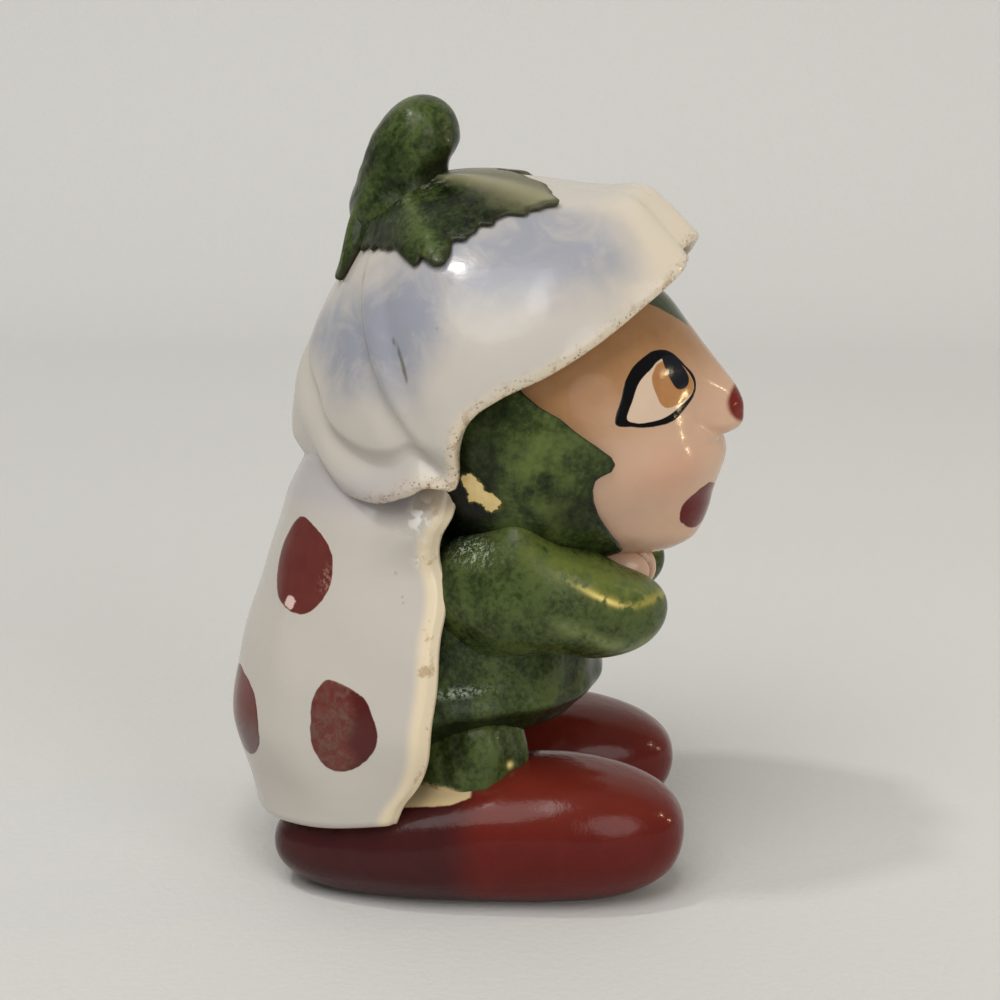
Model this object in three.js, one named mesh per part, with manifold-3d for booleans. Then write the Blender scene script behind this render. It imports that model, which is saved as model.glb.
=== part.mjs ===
// A glazed ceramic figurine of a child dressed as a ladybug, built from its separately shaped pieces.
// Millimetres. The figure looks along -Y, its right hand is on -X, and its soles stand on z = 0.
import * as THREE from 'three';
import { mergeVertices } from 'three/addons/utils/BufferGeometryUtils.js';
import Module from 'manifold-3d';

const wasm = await Module();
wasm.setup();

// Driving dimensions shared by all pieces
const slipGap = 0.3; // left between two pieces, where the real figurine has its line of slip
const wall = 3.2; // thickness of the hollow castings
const wholeTurn = Math.PI * 2;
const limbEndSharpness = 3.4; // 2 ends a limb in a half ball and more ends it blunter
const limbFrames = 64; // steps along a limb's path
const cylinderSides = 20;

// Driving dimensions of the head, measured from its own centre
const headHeight = 58; // of the head's centre above the floor
const headForward = 7; // of the head's centre ahead of the figure's middle
const headTurn = 8; // degrees, towards the figure's right
const headHalfWidth = 21.6;
const headHalfDepth = 22;
const headRise = 21.5; // from the centre to the crown
const headDrop = 17.5; // from the centre to the throat
const noseReach = 4;
const noseHalfWidth = 12; // degrees of turn round the head
const noseHalfHeight = 9.5; // degrees of slope
const noseSlope = 4; // degrees above the head's middle
const chinReach = 3.8;
const chinHalfWidth = 42; // degrees
const chinHalfHeight = 17; // degrees
const chinSlope = -36; // degrees
const lipReach = 1.2;
const lipHalfWidth = 14; // degrees
const lipHalfHeight = 6; // degrees
const lipSlope = -10; // degrees
const faceCrowding = 0.5; // 0 spreads the facets evenly and 1 gathers them all at the face
const headFacets = [40, 28]; // round the head and from its throat to its crown
const headCavityFacets = [20, 10];

// Driving dimensions of the leaf hood on the head
const hoodThickness = 0.9;
const hoodRelief = 0.3; // more than the slip gap, for the facets of the head under it
const hoodReach = 104; // degrees from the back of the head to the hood's edge, at ear height
const hoodJawReach = 12; // degrees that the edge comes further forward under the jaw
const hoodLeaf = 9; // degrees that each leaf point reaches past the edge
const hoodLeaves = 8;
const hoodFacets = [hoodLeaves * 4, 9]; // round its edge and from its middle to its edge
const hoodInside = slipGap + hoodRelief;
const hoodOutside = hoodInside + hoodThickness;
const hoodSeatReach = 1.5; // degrees that a neighbour keeps clear of the hood's edge

// Driving dimensions of the flower hat; its rim circle leans back
const hatLean = 31; // degrees
const hatBehind = 4; // of the rim's centre behind the head's centre
const hatAbove = 7.5; // of the rim's centre above the head's centre
const hatSideWall = 2.2; // between the hood and the outside at the widest place
const hatFrontReach = 26.8;
const hatBackReach = 29;
const hatHeight = 24.4; // from the rim circle to the crown
const hatFrontFullness = 1.52; // 1 is a straight cone and 2 a round dome
const hatSideFullness = 1.7;
const hatBackFullness = 1.55;
const sideDrop = 2.8; // of the rim below the rim circle at the sides
const frontRimHalfWidth = 25; // degrees over which the front rim stays up
const backRise = 7.8; // of the rim from the sides to the notch at the back
const backRiseStart = 128; // degrees from the front
const backRiseEnd = 165; // degrees
const backLobeAngle = 120; // degrees from the front
const backLobeHalfWidth = 22; // degrees
const backLobeDrop = 3.8;
const backLobeReach = 1.5; // that the back lobes stand out over the wing cases
const rimFade = 3; // 1 lets the rim's waves run up to the crown and more keeps them at the rim
const frontLobeAngle = 20; // degrees
const frontLobeHalfWidth = 13; // degrees
const frontLobeReach = 1.6;
const frontPuff = 2; // that the front petals swell up short of the rim
const frontPuffPlace = 0.8; // share of the way to the rim
const frontPuffLength = 0.17; // of the same
const frontPuffHalfWidth = 45; // degrees
const creaseDepth = 0.8;
const creaseHalfWidth = 7; // degrees
const creaseAngles = [0, 42, 101, 180]; // degrees from the front, where two petals meet
const hatWall = 2.8;
const hatFacets = [60, 9]; // round the rim and from the crown to the rim
const hatHalfWidth = headHalfWidth + hoodOutside + slipGap + hatSideWall;

// Driving dimensions of the calyx and the stem on top of the hat
const sepals = 4;
const sepalForward = 10; // degrees that the side sepals point ahead of straight sideways
const sepalThickness = 1;
const sepalFacets = 10; // round the edge of one sepal
const calyxRings = 4;
const sepalInner = 0.3; // share of the way to the rim where two sepals part
const sepalOuter = 0.39; // share of the way to the rim at a sepal's tip
const frontSepalLonger = 0.06; // of the same at the front sepal
const sideSepalsLonger = 0.1; // of the same at the two side sepals
const sepalPoint = 1.6; // 1 is a round tip and more is a sharper one
const stemRadius = 6.6;
const stemKnobRadius = 5.4;
const stemRoot = 4; // that the stem starts under the hat's crown
const stemHeight = 11.8; // from the hat's crown to the top of the stem
const stemLean = 2.8; // of the top ahead of the foot
const stemFacets = [20, 12];

// Driving dimensions of the torso; behind, it fills the wing cases
const torsoTop = 47;
const torsoBottom = 18;
const seatBottom = 11.5; // behind the legs
const tunicHalfWidth = 19;
const shoulderHalfWidth = 16;
const bellyReach = 16.5; // of the belly ahead of the figure's middle
const chestReach = 13;
const throatRadius = 5;
const throatBehind = 2; // of the throat's axis behind the figure's middle
const pourHoleRadius = 4;
const pourHoleBehind = 9;
const throatLength = 14;
const seatRelief = 0.3; // more than the slip gap, for the facets of the wing cases
const sideBehindWingEdge = 2; // of the torso's widest place
const torsoEndSharpness = 5; // more makes the shoulders and the seat flatter
const torsoEndFullness = 0.42; // less makes their edges squarer
const torsoTaperStart = 0.1; // share of the height where the tunic starts to narrow
const tunicFlareStart = -0.4; // cosine of the turn from the back where the tunic starts to widen
const tunicFlareEnd = 0.1; // and where it is as wide as the wing cases' inside
const seatAhead = 3; // of the seat's start ahead of the torso's axis
const seatBehind = 9; // of its lowest place behind the axis
const seatFade = 3; // more keeps the seat's drop nearer the bottom
const torsoFacets = [32, 14];
const torsoCavityFacets = [20, 9];

// Driving dimensions of the wing cases
const wingTop = 55;
const wingBottom = 9;
const wingFrontLift = 2.2; // of the lower edge at the front
const wingThickness = 2.9;
const wingHalfWidth = 25.6;
const wingShoulder = 18.2; // half width under the hat
const wingBackReach = 32.83; // of the wings' back behind the figure's middle
const wingUpperBackReach = 23; // the same under the hat
const wingTuck = 3.4; // that the lower edge draws in at the back
const wingSideTuck = 1.5; // and at the sides
const wingBevel = 1.8; // that the outside draws in at the front and lower edges
const wingSquareness = 0.8; // of the section: 1 is an ellipse and less is squarer
const wingFront = 4; // of the front edge behind the figure's middle
const wingFrontSweep = 5; // that the front edge's lower corner is swept back
const wingSeam = 0.5; // half of the gap between the two wing cases
const wingWaist = 0.25; // share of the height where the wings start to narrow upwards
const wingTuckEnd = 0.3; // share of the height up to which the lower edge draws in
const wingTopTuck = 2; // that the top draws in under the hat
const wingTopTuckStart = 0.84; // share of the height where it starts
const wingFacets = [16, 16]; // from the seam to the front edge and from the bottom to the top

// Driving dimensions of the arms and hands
const shoulderHeight = 39;
const elbowHeight = 36.3;
const shoulderBehind = 6; // of the arm's buried end behind the figure's middle
const shoulderIn = 2; // that the buried end lies further in
const armRadius = 8.2;
const elbowRadius = 6.2;
const armOut = 17; // of the upper arm from the figure's middle
const elbowOut = 10.5;
const elbowAhead = 22.5;
const armStraight = 0.15; // share of the way ahead up to which the arm keeps its distance out
const armBend = 0.7; // share of the way ahead where the elbow bends in
const armBendIn = 0.35; // share of the way in at that bend
const armFacets = [20, 12];
const handRadius = 4.2;
const handLonger = 1.15; // of its half length to its radius
const handFlatter = 0.85; // of its half height to its radius
const handOut = 6.2;
const handAhead = 17.2;
const handHeight = 40;
const handFacets = [16, 10];

// Driving dimensions of the legs and shoes
const legOut = 13; // of the leg's axis from the figure's middle
const legRadius = 6.8;
const legTop = 25;
const legLength = 18;
const legFacets = [18, 8];
const shoeOut = 13.4;
const shoeLength = 52;
const shoeHalfWidth = 11.4;
const shoeHeelHalfWidth = 10.5;
const shoeToeHeight = 17.6;
const shoeHeelHeight = 12.5;
const solePress = 1.3; // of the round underside that is pressed flat
const shoeSplay = 2; // degrees that the toes point out
const shoeToeEnd = 0.3; // share of the length ahead of the middle where the shoe is widest
const shoeSquareness = 0.85; // 1 is an ellipse and less is squarer
const shoeTopSquareness = 0.8;
const shoeSoleSquareness = 0.95;
const shoeFacets = [32, 14];

// Glazes
const whiteGlaze = glaze(0xd9d4cb, 0.22);
const greenGlaze = glaze(0x4a6630, 0.25);
const redGlaze = glaze(0x6c241f, 0.2);
const skinGlaze = glaze(0xd8b594, 0.28);

function glaze(colour, roughness) {
  return new THREE.MeshStandardMaterial({ color: colour, roughness, metalness: 0 });
}

function radians(degrees) {
  return THREE.MathUtils.degToRad(degrees);
}

// 1 at no distance, falling to nothing past the width
function swell(distance, width) {
  return Math.exp(-((distance / width) ** 2));
}

function blend(from, to, share) {
  return THREE.MathUtils.lerp(from, to, share);
}

// 0 below the low edge and 1 above the high edge
function ease(value, low, high) {
  return THREE.MathUtils.smoothstep(value, low, high);
}

// Angle brought between minus and plus half a turn
function wrapped(angle) {
  return Math.atan2(Math.sin(angle), Math.cos(angle));
}

// Turns a closed mesh so that its faces point out
function facingOut(geometry) {
  const position = geometry.attributes.position;
  const order = geometry.index.array;
  const corners = [new THREE.Vector3(), new THREE.Vector3(), new THREE.Vector3()];
  let volume = 0;
  for (let i = 0; i < order.length; i += 3) {
    corners.forEach((corner, k) => corner.fromBufferAttribute(position, order[i + k]));
    volume += corners[0].dot(corners[1].cross(corners[2]));
  }
  if (volume < 0) {
    for (let i = 0; i < order.length; i += 3) {
      const swap = order[i];
      order[i] = order[i + 1];
      order[i + 1] = swap;
    }
  }
  return geometry;
}

function indexedGeometry(positions, triangles) {
  const geometry = new THREE.BufferGeometry();
  geometry.setAttribute('position', new THREE.Float32BufferAttribute(positions, 3));
  geometry.setIndex(triangles);
  return facingOut(geometry);
}

// A closed skin from one pole to the other; pointAt takes the turn and the rise, both from 0 to 1
function closedSkin(pointAt, columns, rows) {
  const positions = [...pointAt(0, 0).toArray()];
  const triangles = [];
  for (let row = 1; row < rows; row++) {
    for (let column = 0; column < columns; column++) {
      positions.push(...pointAt(column / columns, row / rows).toArray());
    }
  }
  positions.push(...pointAt(0, 1).toArray());
  const lastPole = 1 + (rows - 1) * columns;
  for (let column = 0; column < columns; column++) {
    const next = (column + 1) % columns;
    triangles.push(0, 1 + column, 1 + next);
    for (let row = 0; row < rows - 2; row++) {
      const near = 1 + row * columns;
      const far = near + columns;
      triangles.push(near + column, far + column, far + next);
      triangles.push(near + column, far + next, near + next);
    }
    const top = 1 + (rows - 2) * columns;
    triangles.push(lastPole, top + next, top + column);
  }
  return indexedGeometry(positions, triangles);
}

// A layer of even thickness on a surface: surfaceAt takes the turn, the reach and the offset
function layerSkin(surfaceAt, innerOffset, outerOffset, columns, rings) {
  const rows = 2 * rings + 1;
  const pointAt = (turn, rise) => {
    const row = Math.round(rise * rows);
    const inner = row <= rings;
    const reach = (inner ? row : rows - row) / rings;
    return surfaceAt(turn, reach, inner ? innerOffset : outerOffset);
  };
  return closedSkin(pointAt, columns, rows);
}

// A round-ended limb along a smooth path, its radius running from the first value to the last
function limbSkin(path, radii, columns, rows) {
  const curve = new THREE.CatmullRomCurve3(path);
  const frames = curve.computeFrenetFrames(limbFrames);
  const radiusAt = (share) => {
    const step = share * (radii.length - 1);
    const low = Math.min(Math.floor(step), radii.length - 2);
    const round = Math.sqrt(Math.max(0, 1 - Math.abs(2 * share - 1) ** limbEndSharpness));
    return blend(radii[low], radii[low + 1], ease(step - low, 0, 1)) * round;
  };
  const pointAt = (turn, rise) => {
    const share = (1 - Math.cos(Math.PI * rise)) / 2;
    const frame = Math.round(share * limbFrames);
    const angle = turn * wholeTurn;
    const radius = radiusAt(share);
    return curve.getPointAt(share)
      .addScaledVector(frames.normals[frame], radius * Math.cos(angle))
      .addScaledVector(frames.binormals[frame], radius * Math.sin(angle));
  };
  return closedSkin(pointAt, columns, rows);
}

// The mesh pushed out along its own normals, to cut a seat with clearance
function grown(geometry, distance) {
  const larger = geometry.clone();
  larger.computeVertexNormals();
  const position = larger.attributes.position;
  const normal = larger.attributes.normal;
  const point = new THREE.Vector3();
  const push = new THREE.Vector3();
  for (let i = 0; i < position.count; i++) {
    point.fromBufferAttribute(position, i);
    push.fromBufferAttribute(normal, i);
    point.addScaledVector(push, distance);
    position.setXYZ(i, point.x, point.y, point.z);
  }
  larger.deleteAttribute('normal');
  return larger;
}

function toSolid(geometry) {
  const vertProperties = new Float32Array(geometry.attributes.position.array);
  const triVerts = new Uint32Array(geometry.index.array);
  return new wasm.Manifold(new wasm.Mesh({ numProp: 3, vertProperties, triVerts }));
}

function toGeometry(solid) {
  const mesh = solid.getMesh();
  const geometry = new THREE.BufferGeometry();
  geometry.setAttribute('position', new THREE.BufferAttribute(mesh.vertProperties, 3));
  geometry.setIndex(new THREE.BufferAttribute(mesh.triVerts, 1));
  return geometry;
}

// The piece with its neighbours' seats cut away, and no crumbs left beside it
function seated(geometry, seats) {
  const solid = seats.reduce((rest, seat) => rest.subtract(toSolid(seat)), toSolid(geometry));
  const bodies = solid.decompose();
  bodies.sort((first, second) => second.volume() - first.volume());
  return toGeometry(bodies[0]);
}

function mirrored(geometry) {
  const twin = geometry.clone().applyMatrix4(new THREE.Matrix4().makeScale(-1, 1, 1));
  return facingOut(twin);
}

function uprightCylinder(radius, bottom, top, x, y) {
  const pointAt = (turn, rise) => {
    const angle = turn * wholeTurn;
    const onRim = rise > 0 && rise < 1;
    const height = rise < 0.5 ? bottom : top;
    const reach = onRim ? radius : 0;
    return new THREE.Vector3(x + reach * Math.cos(angle), y + reach * Math.sin(angle), height);
  };
  return closedSkin(pointAt, cylinderSides, 3);
}

// The head's surface in one direction from its centre
function headPoint(direction, offset) {
  const slope = Math.asin(THREE.MathUtils.clamp(direction.z, -1, 1));
  const turn = Math.atan2(direction.x, -direction.y);
  const halfHeight = direction.z > 0 ? headRise : headDrop;
  const inBall = new THREE.Vector3(
    direction.x / headHalfWidth, direction.y / headHalfDepth, direction.z / halfHeight);
  const nose = noseReach * swell(turn, radians(noseHalfWidth))
    * swell(slope - radians(noseSlope), radians(noseHalfHeight));
  const chin = chinReach * swell(turn, radians(chinHalfWidth))
    * swell(slope - radians(chinSlope), radians(chinHalfHeight));
  const lips = lipReach * swell(turn, radians(lipHalfWidth))
    * swell(slope - radians(lipSlope), radians(lipHalfHeight));
  return direction.clone().multiplyScalar(1 / inBall.length() + nose + chin + lips + offset);
}

// Rows and columns crowd towards the face, where the head has its detail
function headSkin(offset, columns, rows) {
  return closedSkin((turn, rise) => {
    const angle = turn * wholeTurn - faceCrowding * Math.sin(turn * wholeTurn);
    const slope = (rise - 0.5) * Math.PI - faceCrowding / 2 * Math.sin((rise - 0.5) * wholeTurn);
    const level = Math.cos(slope);
    const ahead = -Math.cos(angle) * level;
    return headPoint(new THREE.Vector3(Math.sin(angle) * level, ahead, Math.sin(slope)), offset);
  }, columns, rows);
}

// The hood lies on the head: its pole is at the back of the head and its edge has leaf points
function hoodSkin(inside, outside, furtherReach) {
  return layerSkin((turn, reach, offset) => {
    const round = turn * wholeTurn;
    const leaf = hoodLeaf * Math.cos(round * hoodLeaves) ** 2;
    const jaw = -hoodJawReach * Math.cos(round);
    const fromBack = radians(hoodReach + leaf + jaw + furtherReach) * reach;
    const across = Math.sin(fromBack);
    const direction = new THREE.Vector3(
      across * Math.sin(round), Math.cos(fromBack), across * Math.cos(round));
    return headPoint(direction, offset);
  }, inside, outside, ...hoodFacets);
}

// A point of the flower hat; reach runs from 0 at the crown to 1 at the rim
function hatPoint(turn, reach, offset) {
  const angle = wrapped(turn * wholeTurn);
  const towardsBack = -Math.cos(angle);
  const ends = towardsBack > 0 ? hatBackReach : hatFrontReach;
  const fullness = towardsBack > 0
    ? blend(hatSideFullness, hatBackFullness, towardsBack)
    : blend(hatSideFullness, hatFrontFullness, -towardsBack);
  const slide = reach * Math.PI / 2;
  const share = Math.sin(slide) ** (2 / fullness);
  const fade = reach ** rimFade;
  const crease = creaseAngles.reduce((sum, place) => {
    return sum + swell(Math.abs(angle) - radians(place), radians(creaseHalfWidth));
  }, 0) * creaseDepth * fade;
  const frontLobe = frontLobeReach * fade
    * swell(Math.abs(angle) - radians(frontLobeAngle), radians(frontLobeHalfWidth));
  const backLobe = swell((Math.abs(angle) - radians(backLobeAngle)) ** 2, radians(backLobeHalfWidth) ** 2);
  const out = offset + frontLobe + backLobeReach * backLobe * fade - crease;
  const drop = fade * (
    sideDrop * (1 - swell(angle, radians(frontRimHalfWidth)))
    - backRise * ease(Math.abs(angle), radians(backRiseStart), radians(backRiseEnd))
    + backLobeDrop * backLobe);
  const puff = frontPuff * swell(angle, radians(frontPuffHalfWidth))
    * swell(reach - frontPuffPlace, frontPuffLength);
  const height = (hatHeight + offset) * Math.cos(slide) ** (2 / fullness) - drop + puff;
  return new THREE.Vector3(
    (hatHalfWidth + out) * share * Math.sin(angle),
    (ends + out) * share * towardsBack,
    height,
  ).applyMatrix4(hatPlace);
}
const hatPlace = new THREE.Matrix4()
  .makeTranslation(0, hatBehind, hatAbove)
  .multiply(new THREE.Matrix4().makeRotationX(-radians(hatLean)));

// The sepals lie on the hat's crown, each with a long point
function calyxSkin() {
  return layerSkin((turn, reach, offset) => {
    const angle = turn * wholeTurn;
    const star = angle + radians(sepalForward) * Math.sin(angle);
    const point = ((1 + Math.cos(star * sepals)) / 2) ** sepalPoint;
    const longer = frontSepalLonger * ease(Math.cos(angle), 0, 1)
      + sideSepalsLonger * Math.sin(angle) ** 2;
    return hatPoint(turn, reach * blend(sepalInner, sepalOuter + longer, point), offset);
  }, slipGap, slipGap + sepalThickness, sepals * sepalFacets, calyxRings);
}

// The stem is a thick blunt column that leans a little forward
function stemSkin() {
  const crown = new THREE.Vector3(0, 0, hatHeight).applyMatrix4(hatPlace);
  const place = (ahead, above) => crown.clone().add(new THREE.Vector3(0, -ahead, above));
  const path = [place(0, -stemRoot), place(0, stemHeight / 3), place(stemLean, stemHeight)];
  return limbSkin(path, [stemRadius, stemKnobRadius], ...stemFacets);
}

// The outside of the two wing cases at one share of their height
function wingSection(rise) {
  const upper = ease(rise, wingWaist, 1);
  const lower = 1 - ease(rise, 0, wingTuckEnd);
  const top = wingTopTuck * ease(rise, wingTopTuckStart, 1);
  return {
    halfWidth: blend(wingHalfWidth, wingShoulder, upper) - wingSideTuck * lower - top,
    back: blend(wingBackReach, wingUpperBackReach, upper) - wingTuck * lower - top,
    front: wingFront + wingFrontSweep * lower ** 2,
  };
}

// The torso's section is an oval; its front is the tunic's belly and its back fills the wing cases
function torsoSkin(inset, columns, rows) {
  const bottom = torsoBottom + inset;
  const top = torsoTop - inset;
  const filled = wingThickness + slipGap + seatRelief + inset;
  const axis = wingFront + sideBehindWingEdge;
  return closedSkin((turn, rise) => {
    const share = (1 - Math.cos(Math.PI * rise)) / 2;
    const round = (1 - Math.abs(2 * share - 1) ** torsoEndSharpness) ** torsoEndFullness;
    const upper = ease(share, torsoTaperStart, 1);
    const height = blend(bottom, top, share);
    const wing = wingSection((height - wingBottom) / (wingTop - wingBottom));
    const angle = turn * wholeTurn;
    const forward = Math.cos(angle);
    const tunic = blend(tunicHalfWidth, shoulderHalfWidth, upper) - inset;
    const flare = ease(-forward, tunicFlareStart, tunicFlareEnd);
    const halfWidth = blend(tunic, wing.halfWidth - filled, flare);
    const front = blend(bellyReach, chestReach, upper) - inset;
    const depth = forward > 0 ? front + axis : wing.back - filled - axis;
    const y = axis - depth * round * forward;
    const seat = ease(y, axis - seatAhead, axis + seatBehind) * (1 - share) ** seatFade;
    const drop = (torsoBottom - seatBottom) * seat;
    return new THREE.Vector3(halfWidth * round * Math.sin(angle), y, height - drop);
  }, columns, rows);
}

// A sheet with two faces and closed edges; pointAt takes two shares and the side, 0 outside and 1 inside
function closedSheet(pointAt, across, along) {
  const positions = [];
  const triangles = [];
  const row = along + 1;
  const face = (across + 1) * row;
  for (let side = 0; side < 2; side++) {
    for (let i = 0; i <= across; i++) {
      for (let j = 0; j <= along; j++) {
        positions.push(...pointAt(i / across, j / along, side).toArray());
      }
    }
  }
  const at = (side, i, j) => side * face + i * row + j;
  const quad = (a, b, c, d) => triangles.push(a, b, c, a, c, d);
  for (let i = 0; i < across; i++) {
    for (let j = 0; j < along; j++) {
      quad(at(0, i, j), at(0, i + 1, j), at(0, i + 1, j + 1), at(0, i, j + 1));
      quad(at(1, i, j), at(1, i, j + 1), at(1, i + 1, j + 1), at(1, i + 1, j));
    }
    quad(at(0, i, 0), at(1, i, 0), at(1, i + 1, 0), at(0, i + 1, 0));
    quad(at(0, i, along), at(0, i + 1, along), at(1, i + 1, along), at(1, i, along));
  }
  for (let j = 0; j < along; j++) {
    quad(at(0, 0, j), at(0, 0, j + 1), at(1, 0, j + 1), at(1, 0, j));
    quad(at(0, across, j), at(1, across, j), at(1, across, j + 1), at(0, across, j + 1));
  }
  return indexedGeometry(positions, triangles);
}

// The right wing case runs from the seam at the back round to its front edge, which is bevelled
function wingSkin() {
  return closedSheet((round, rise, side) => {
    const wing = wingSection(rise);
    const bevel = round === 1 || rise === 0 ? wingBevel : 0;
    const depth = side === 1 ? wingThickness : bevel;
    const angle = round * Math.PI / 2;
    const out = (wing.halfWidth - depth - wingSeam) * Math.sin(angle) ** wingSquareness + wingSeam;
    const back = (wing.back - depth - wing.front) * Math.cos(angle) ** wingSquareness;
    const bottom = wingBottom + wingFrontLift * round ** 2;
    return new THREE.Vector3(-out, wing.front + Math.max(0, back), blend(bottom, wingTop, rise));
  }, ...wingFacets);
}

// The right arm comes from under the wing case and points its elbow forward
function armSkin() {
  const bendOut = blend(armOut, elbowOut, armBendIn);
  const bendHeight = blend(shoulderHeight, elbowHeight, armBend);
  const path = [
    new THREE.Vector3(shoulderIn - armOut, shoulderBehind, shoulderHeight),
    new THREE.Vector3(-armOut, -armStraight * elbowAhead, shoulderHeight),
    new THREE.Vector3(-bendOut, -armBend * elbowAhead, bendHeight),
    new THREE.Vector3(-elbowOut, -elbowAhead, elbowHeight),
  ];
  return limbSkin(path, [armRadius, armRadius, elbowRadius], ...armFacets);
}

// The right hand is a small fist
function handSkin() {
  const ball = new THREE.SphereGeometry(handRadius, ...handFacets);
  ball.deleteAttribute('normal');
  ball.deleteAttribute('uv');
  return mergeVertices(ball)
    .scale(1, handLonger, handFlatter)
    .translate(-handOut, -handAhead, handHeight);
}

function legSkin() {
  const path = [
    new THREE.Vector3(-legOut, 0, legTop - legLength),
    new THREE.Vector3(-legOut, 0, legTop - legLength / 2),
    new THREE.Vector3(-legOut, 0, legTop),
  ];
  return limbSkin(path, [legRadius, legRadius], ...legFacets);
}

// A sine or cosine that makes an oval squarer
function squared(wave) {
  return Math.sign(wave) * Math.abs(wave) ** shoeSquareness;
}

// The right shoe, its round underside pressed flat where it stands
function shoeSkin() {
  return closedSkin((turn, rise) => {
    const angle = turn * wholeTurn;
    const slope = (rise - 0.5) * Math.PI;
    const level = Math.cos(slope) ** (slope > 0 ? shoeTopSquareness : shoeSoleSquareness);
    const y = -shoeLength / 2 * level * squared(Math.cos(angle));
    const toe = ease(-y, -shoeLength / 2, shoeLength * shoeToeEnd);
    const halfWidth = blend(shoeHeelHalfWidth, shoeHalfWidth, toe);
    const x = halfWidth * level * squared(Math.sin(angle));
    const height = blend(shoeHeelHeight, shoeToeHeight, toe) + solePress;
    const lift = squared(Math.sin(slope));
    return new THREE.Vector3(x, y, Math.max(0, height / 2 * (1 + lift) - solePress));
  }, ...shoeFacets).applyMatrix4(new THREE.Matrix4().makeRotationZ(-radians(shoeSplay)))
    .applyMatrix4(new THREE.Matrix4().makeTranslation(-shoeOut, 0, 0));
}

// The head and what sits on it are built round the head's centre and turned together
const headPlace = new THREE.Matrix4()
  .makeTranslation(0, -headForward, headHeight)
  .multiply(new THREE.Matrix4().makeRotationZ(-radians(headTurn)));

function inFigure(geometry) {
  return geometry.clone().applyMatrix4(headPlace);
}

function inHead(geometry) {
  return geometry.clone().applyMatrix4(headPlace.clone().invert());
}

const throat = uprightCylinder(
  throatRadius, torsoTop - throatLength, torsoTop + throatLength / 2, 0, throatBehind);
const pourHole = uprightCylinder(
  pourHoleRadius, seatBottom - wall, torsoBottom + 2 * wall, 0, pourHoleBehind);

const headMaster = headSkin(0, ...headFacets);
const hoodMaster = hoodSkin(hoodInside, hoodOutside, 0);
const hoodSeat = hoodSkin(-hoodThickness, hoodOutside + slipGap, hoodSeatReach);
const headSeat = grown(headMaster, slipGap);
const headCavity = headSkin(-wall, ...headCavityFacets);
const head = seated(headMaster, [headCavity, inHead(throat)]);
const hood = seated(hoodMaster, [inHead(throat)]);
const hatMaster = layerSkin(hatPoint, -hatWall, 0, ...hatFacets);
const hat = seated(hatMaster, [hoodSeat, headSeat]);
const calyxMaster = calyxSkin();
const stem = seated(stemSkin(), [grown(calyxMaster, slipGap), grown(hat, slipGap)]);

const headSeats = [inFigure(headSeat), inFigure(hoodSeat)];
const hatSeat = inFigure(grown(hat, slipGap));

const torsoMaster = torsoSkin(0, ...torsoFacets);
const torsoCavity = torsoSkin(wall, ...torsoCavityFacets);
const rightShoe = shoeSkin();
const shoes = [rightShoe, mirrored(rightShoe)];
const torsoSeat = grown(torsoMaster, slipGap);
const shoeSeats = shoes.map((shoe) => grown(shoe, slipGap));
const torso = seated(torsoMaster, [...headSeats, ...shoeSeats, torsoCavity, throat, pourHole]);

const figure = new THREE.Group();
figure.name = 'ladybug_figurine';

function addPiece(parent, name, geometry, material) {
  const piece = new THREE.Mesh(geometry, material);
  piece.name = name;
  parent.add(piece);
}

const headGroup = new THREE.Group();
headGroup.position.set(0, -headForward, headHeight);
headGroup.rotation.z = -radians(headTurn);
addPiece(headGroup, 'head', head, skinGlaze);
addPiece(headGroup, 'leaf_hood', hood, greenGlaze);
addPiece(headGroup, 'flower_hat', hat, whiteGlaze);
addPiece(headGroup, 'calyx', calyxMaster, greenGlaze);
addPiece(headGroup, 'hat_stem', stem, greenGlaze);
figure.add(headGroup);
addPiece(figure, 'torso', torso, greenGlaze);

['right', 'left'].forEach((side, order) => {
  const onSide = (geometry) => (order === 0 ? geometry : mirrored(geometry));
  const shoe = shoes[order];
  const leg = seated(onSide(legSkin()), [torsoSeat, ...shoeSeats]);
  const legSeat = grown(leg, slipGap);
  const wingSeats = [hatSeat, ...headSeats, torsoSeat, ...shoeSeats, legSeat];
  const wing = seated(onSide(wingSkin()), wingSeats);
  const wingSeat = grown(wing, slipGap);
  const arm = seated(onSide(armSkin()), [torsoSeat, ...headSeats, wingSeat]);
  const armSeat = grown(arm, slipGap);
  const hand = seated(onSide(handSkin()), [torsoSeat, ...headSeats, armSeat]);
  addPiece(figure, `wing_case_${side}`, wing, whiteGlaze);
  addPiece(figure, `arm_${side}`, arm, greenGlaze);
  addPiece(figure, `hand_${side}`, hand, skinGlaze);
  addPiece(figure, `leg_${side}`, leg, greenGlaze);
  addPiece(figure, `shoe_${side}`, shoe, redGlaze);
});

export default figure;
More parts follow.
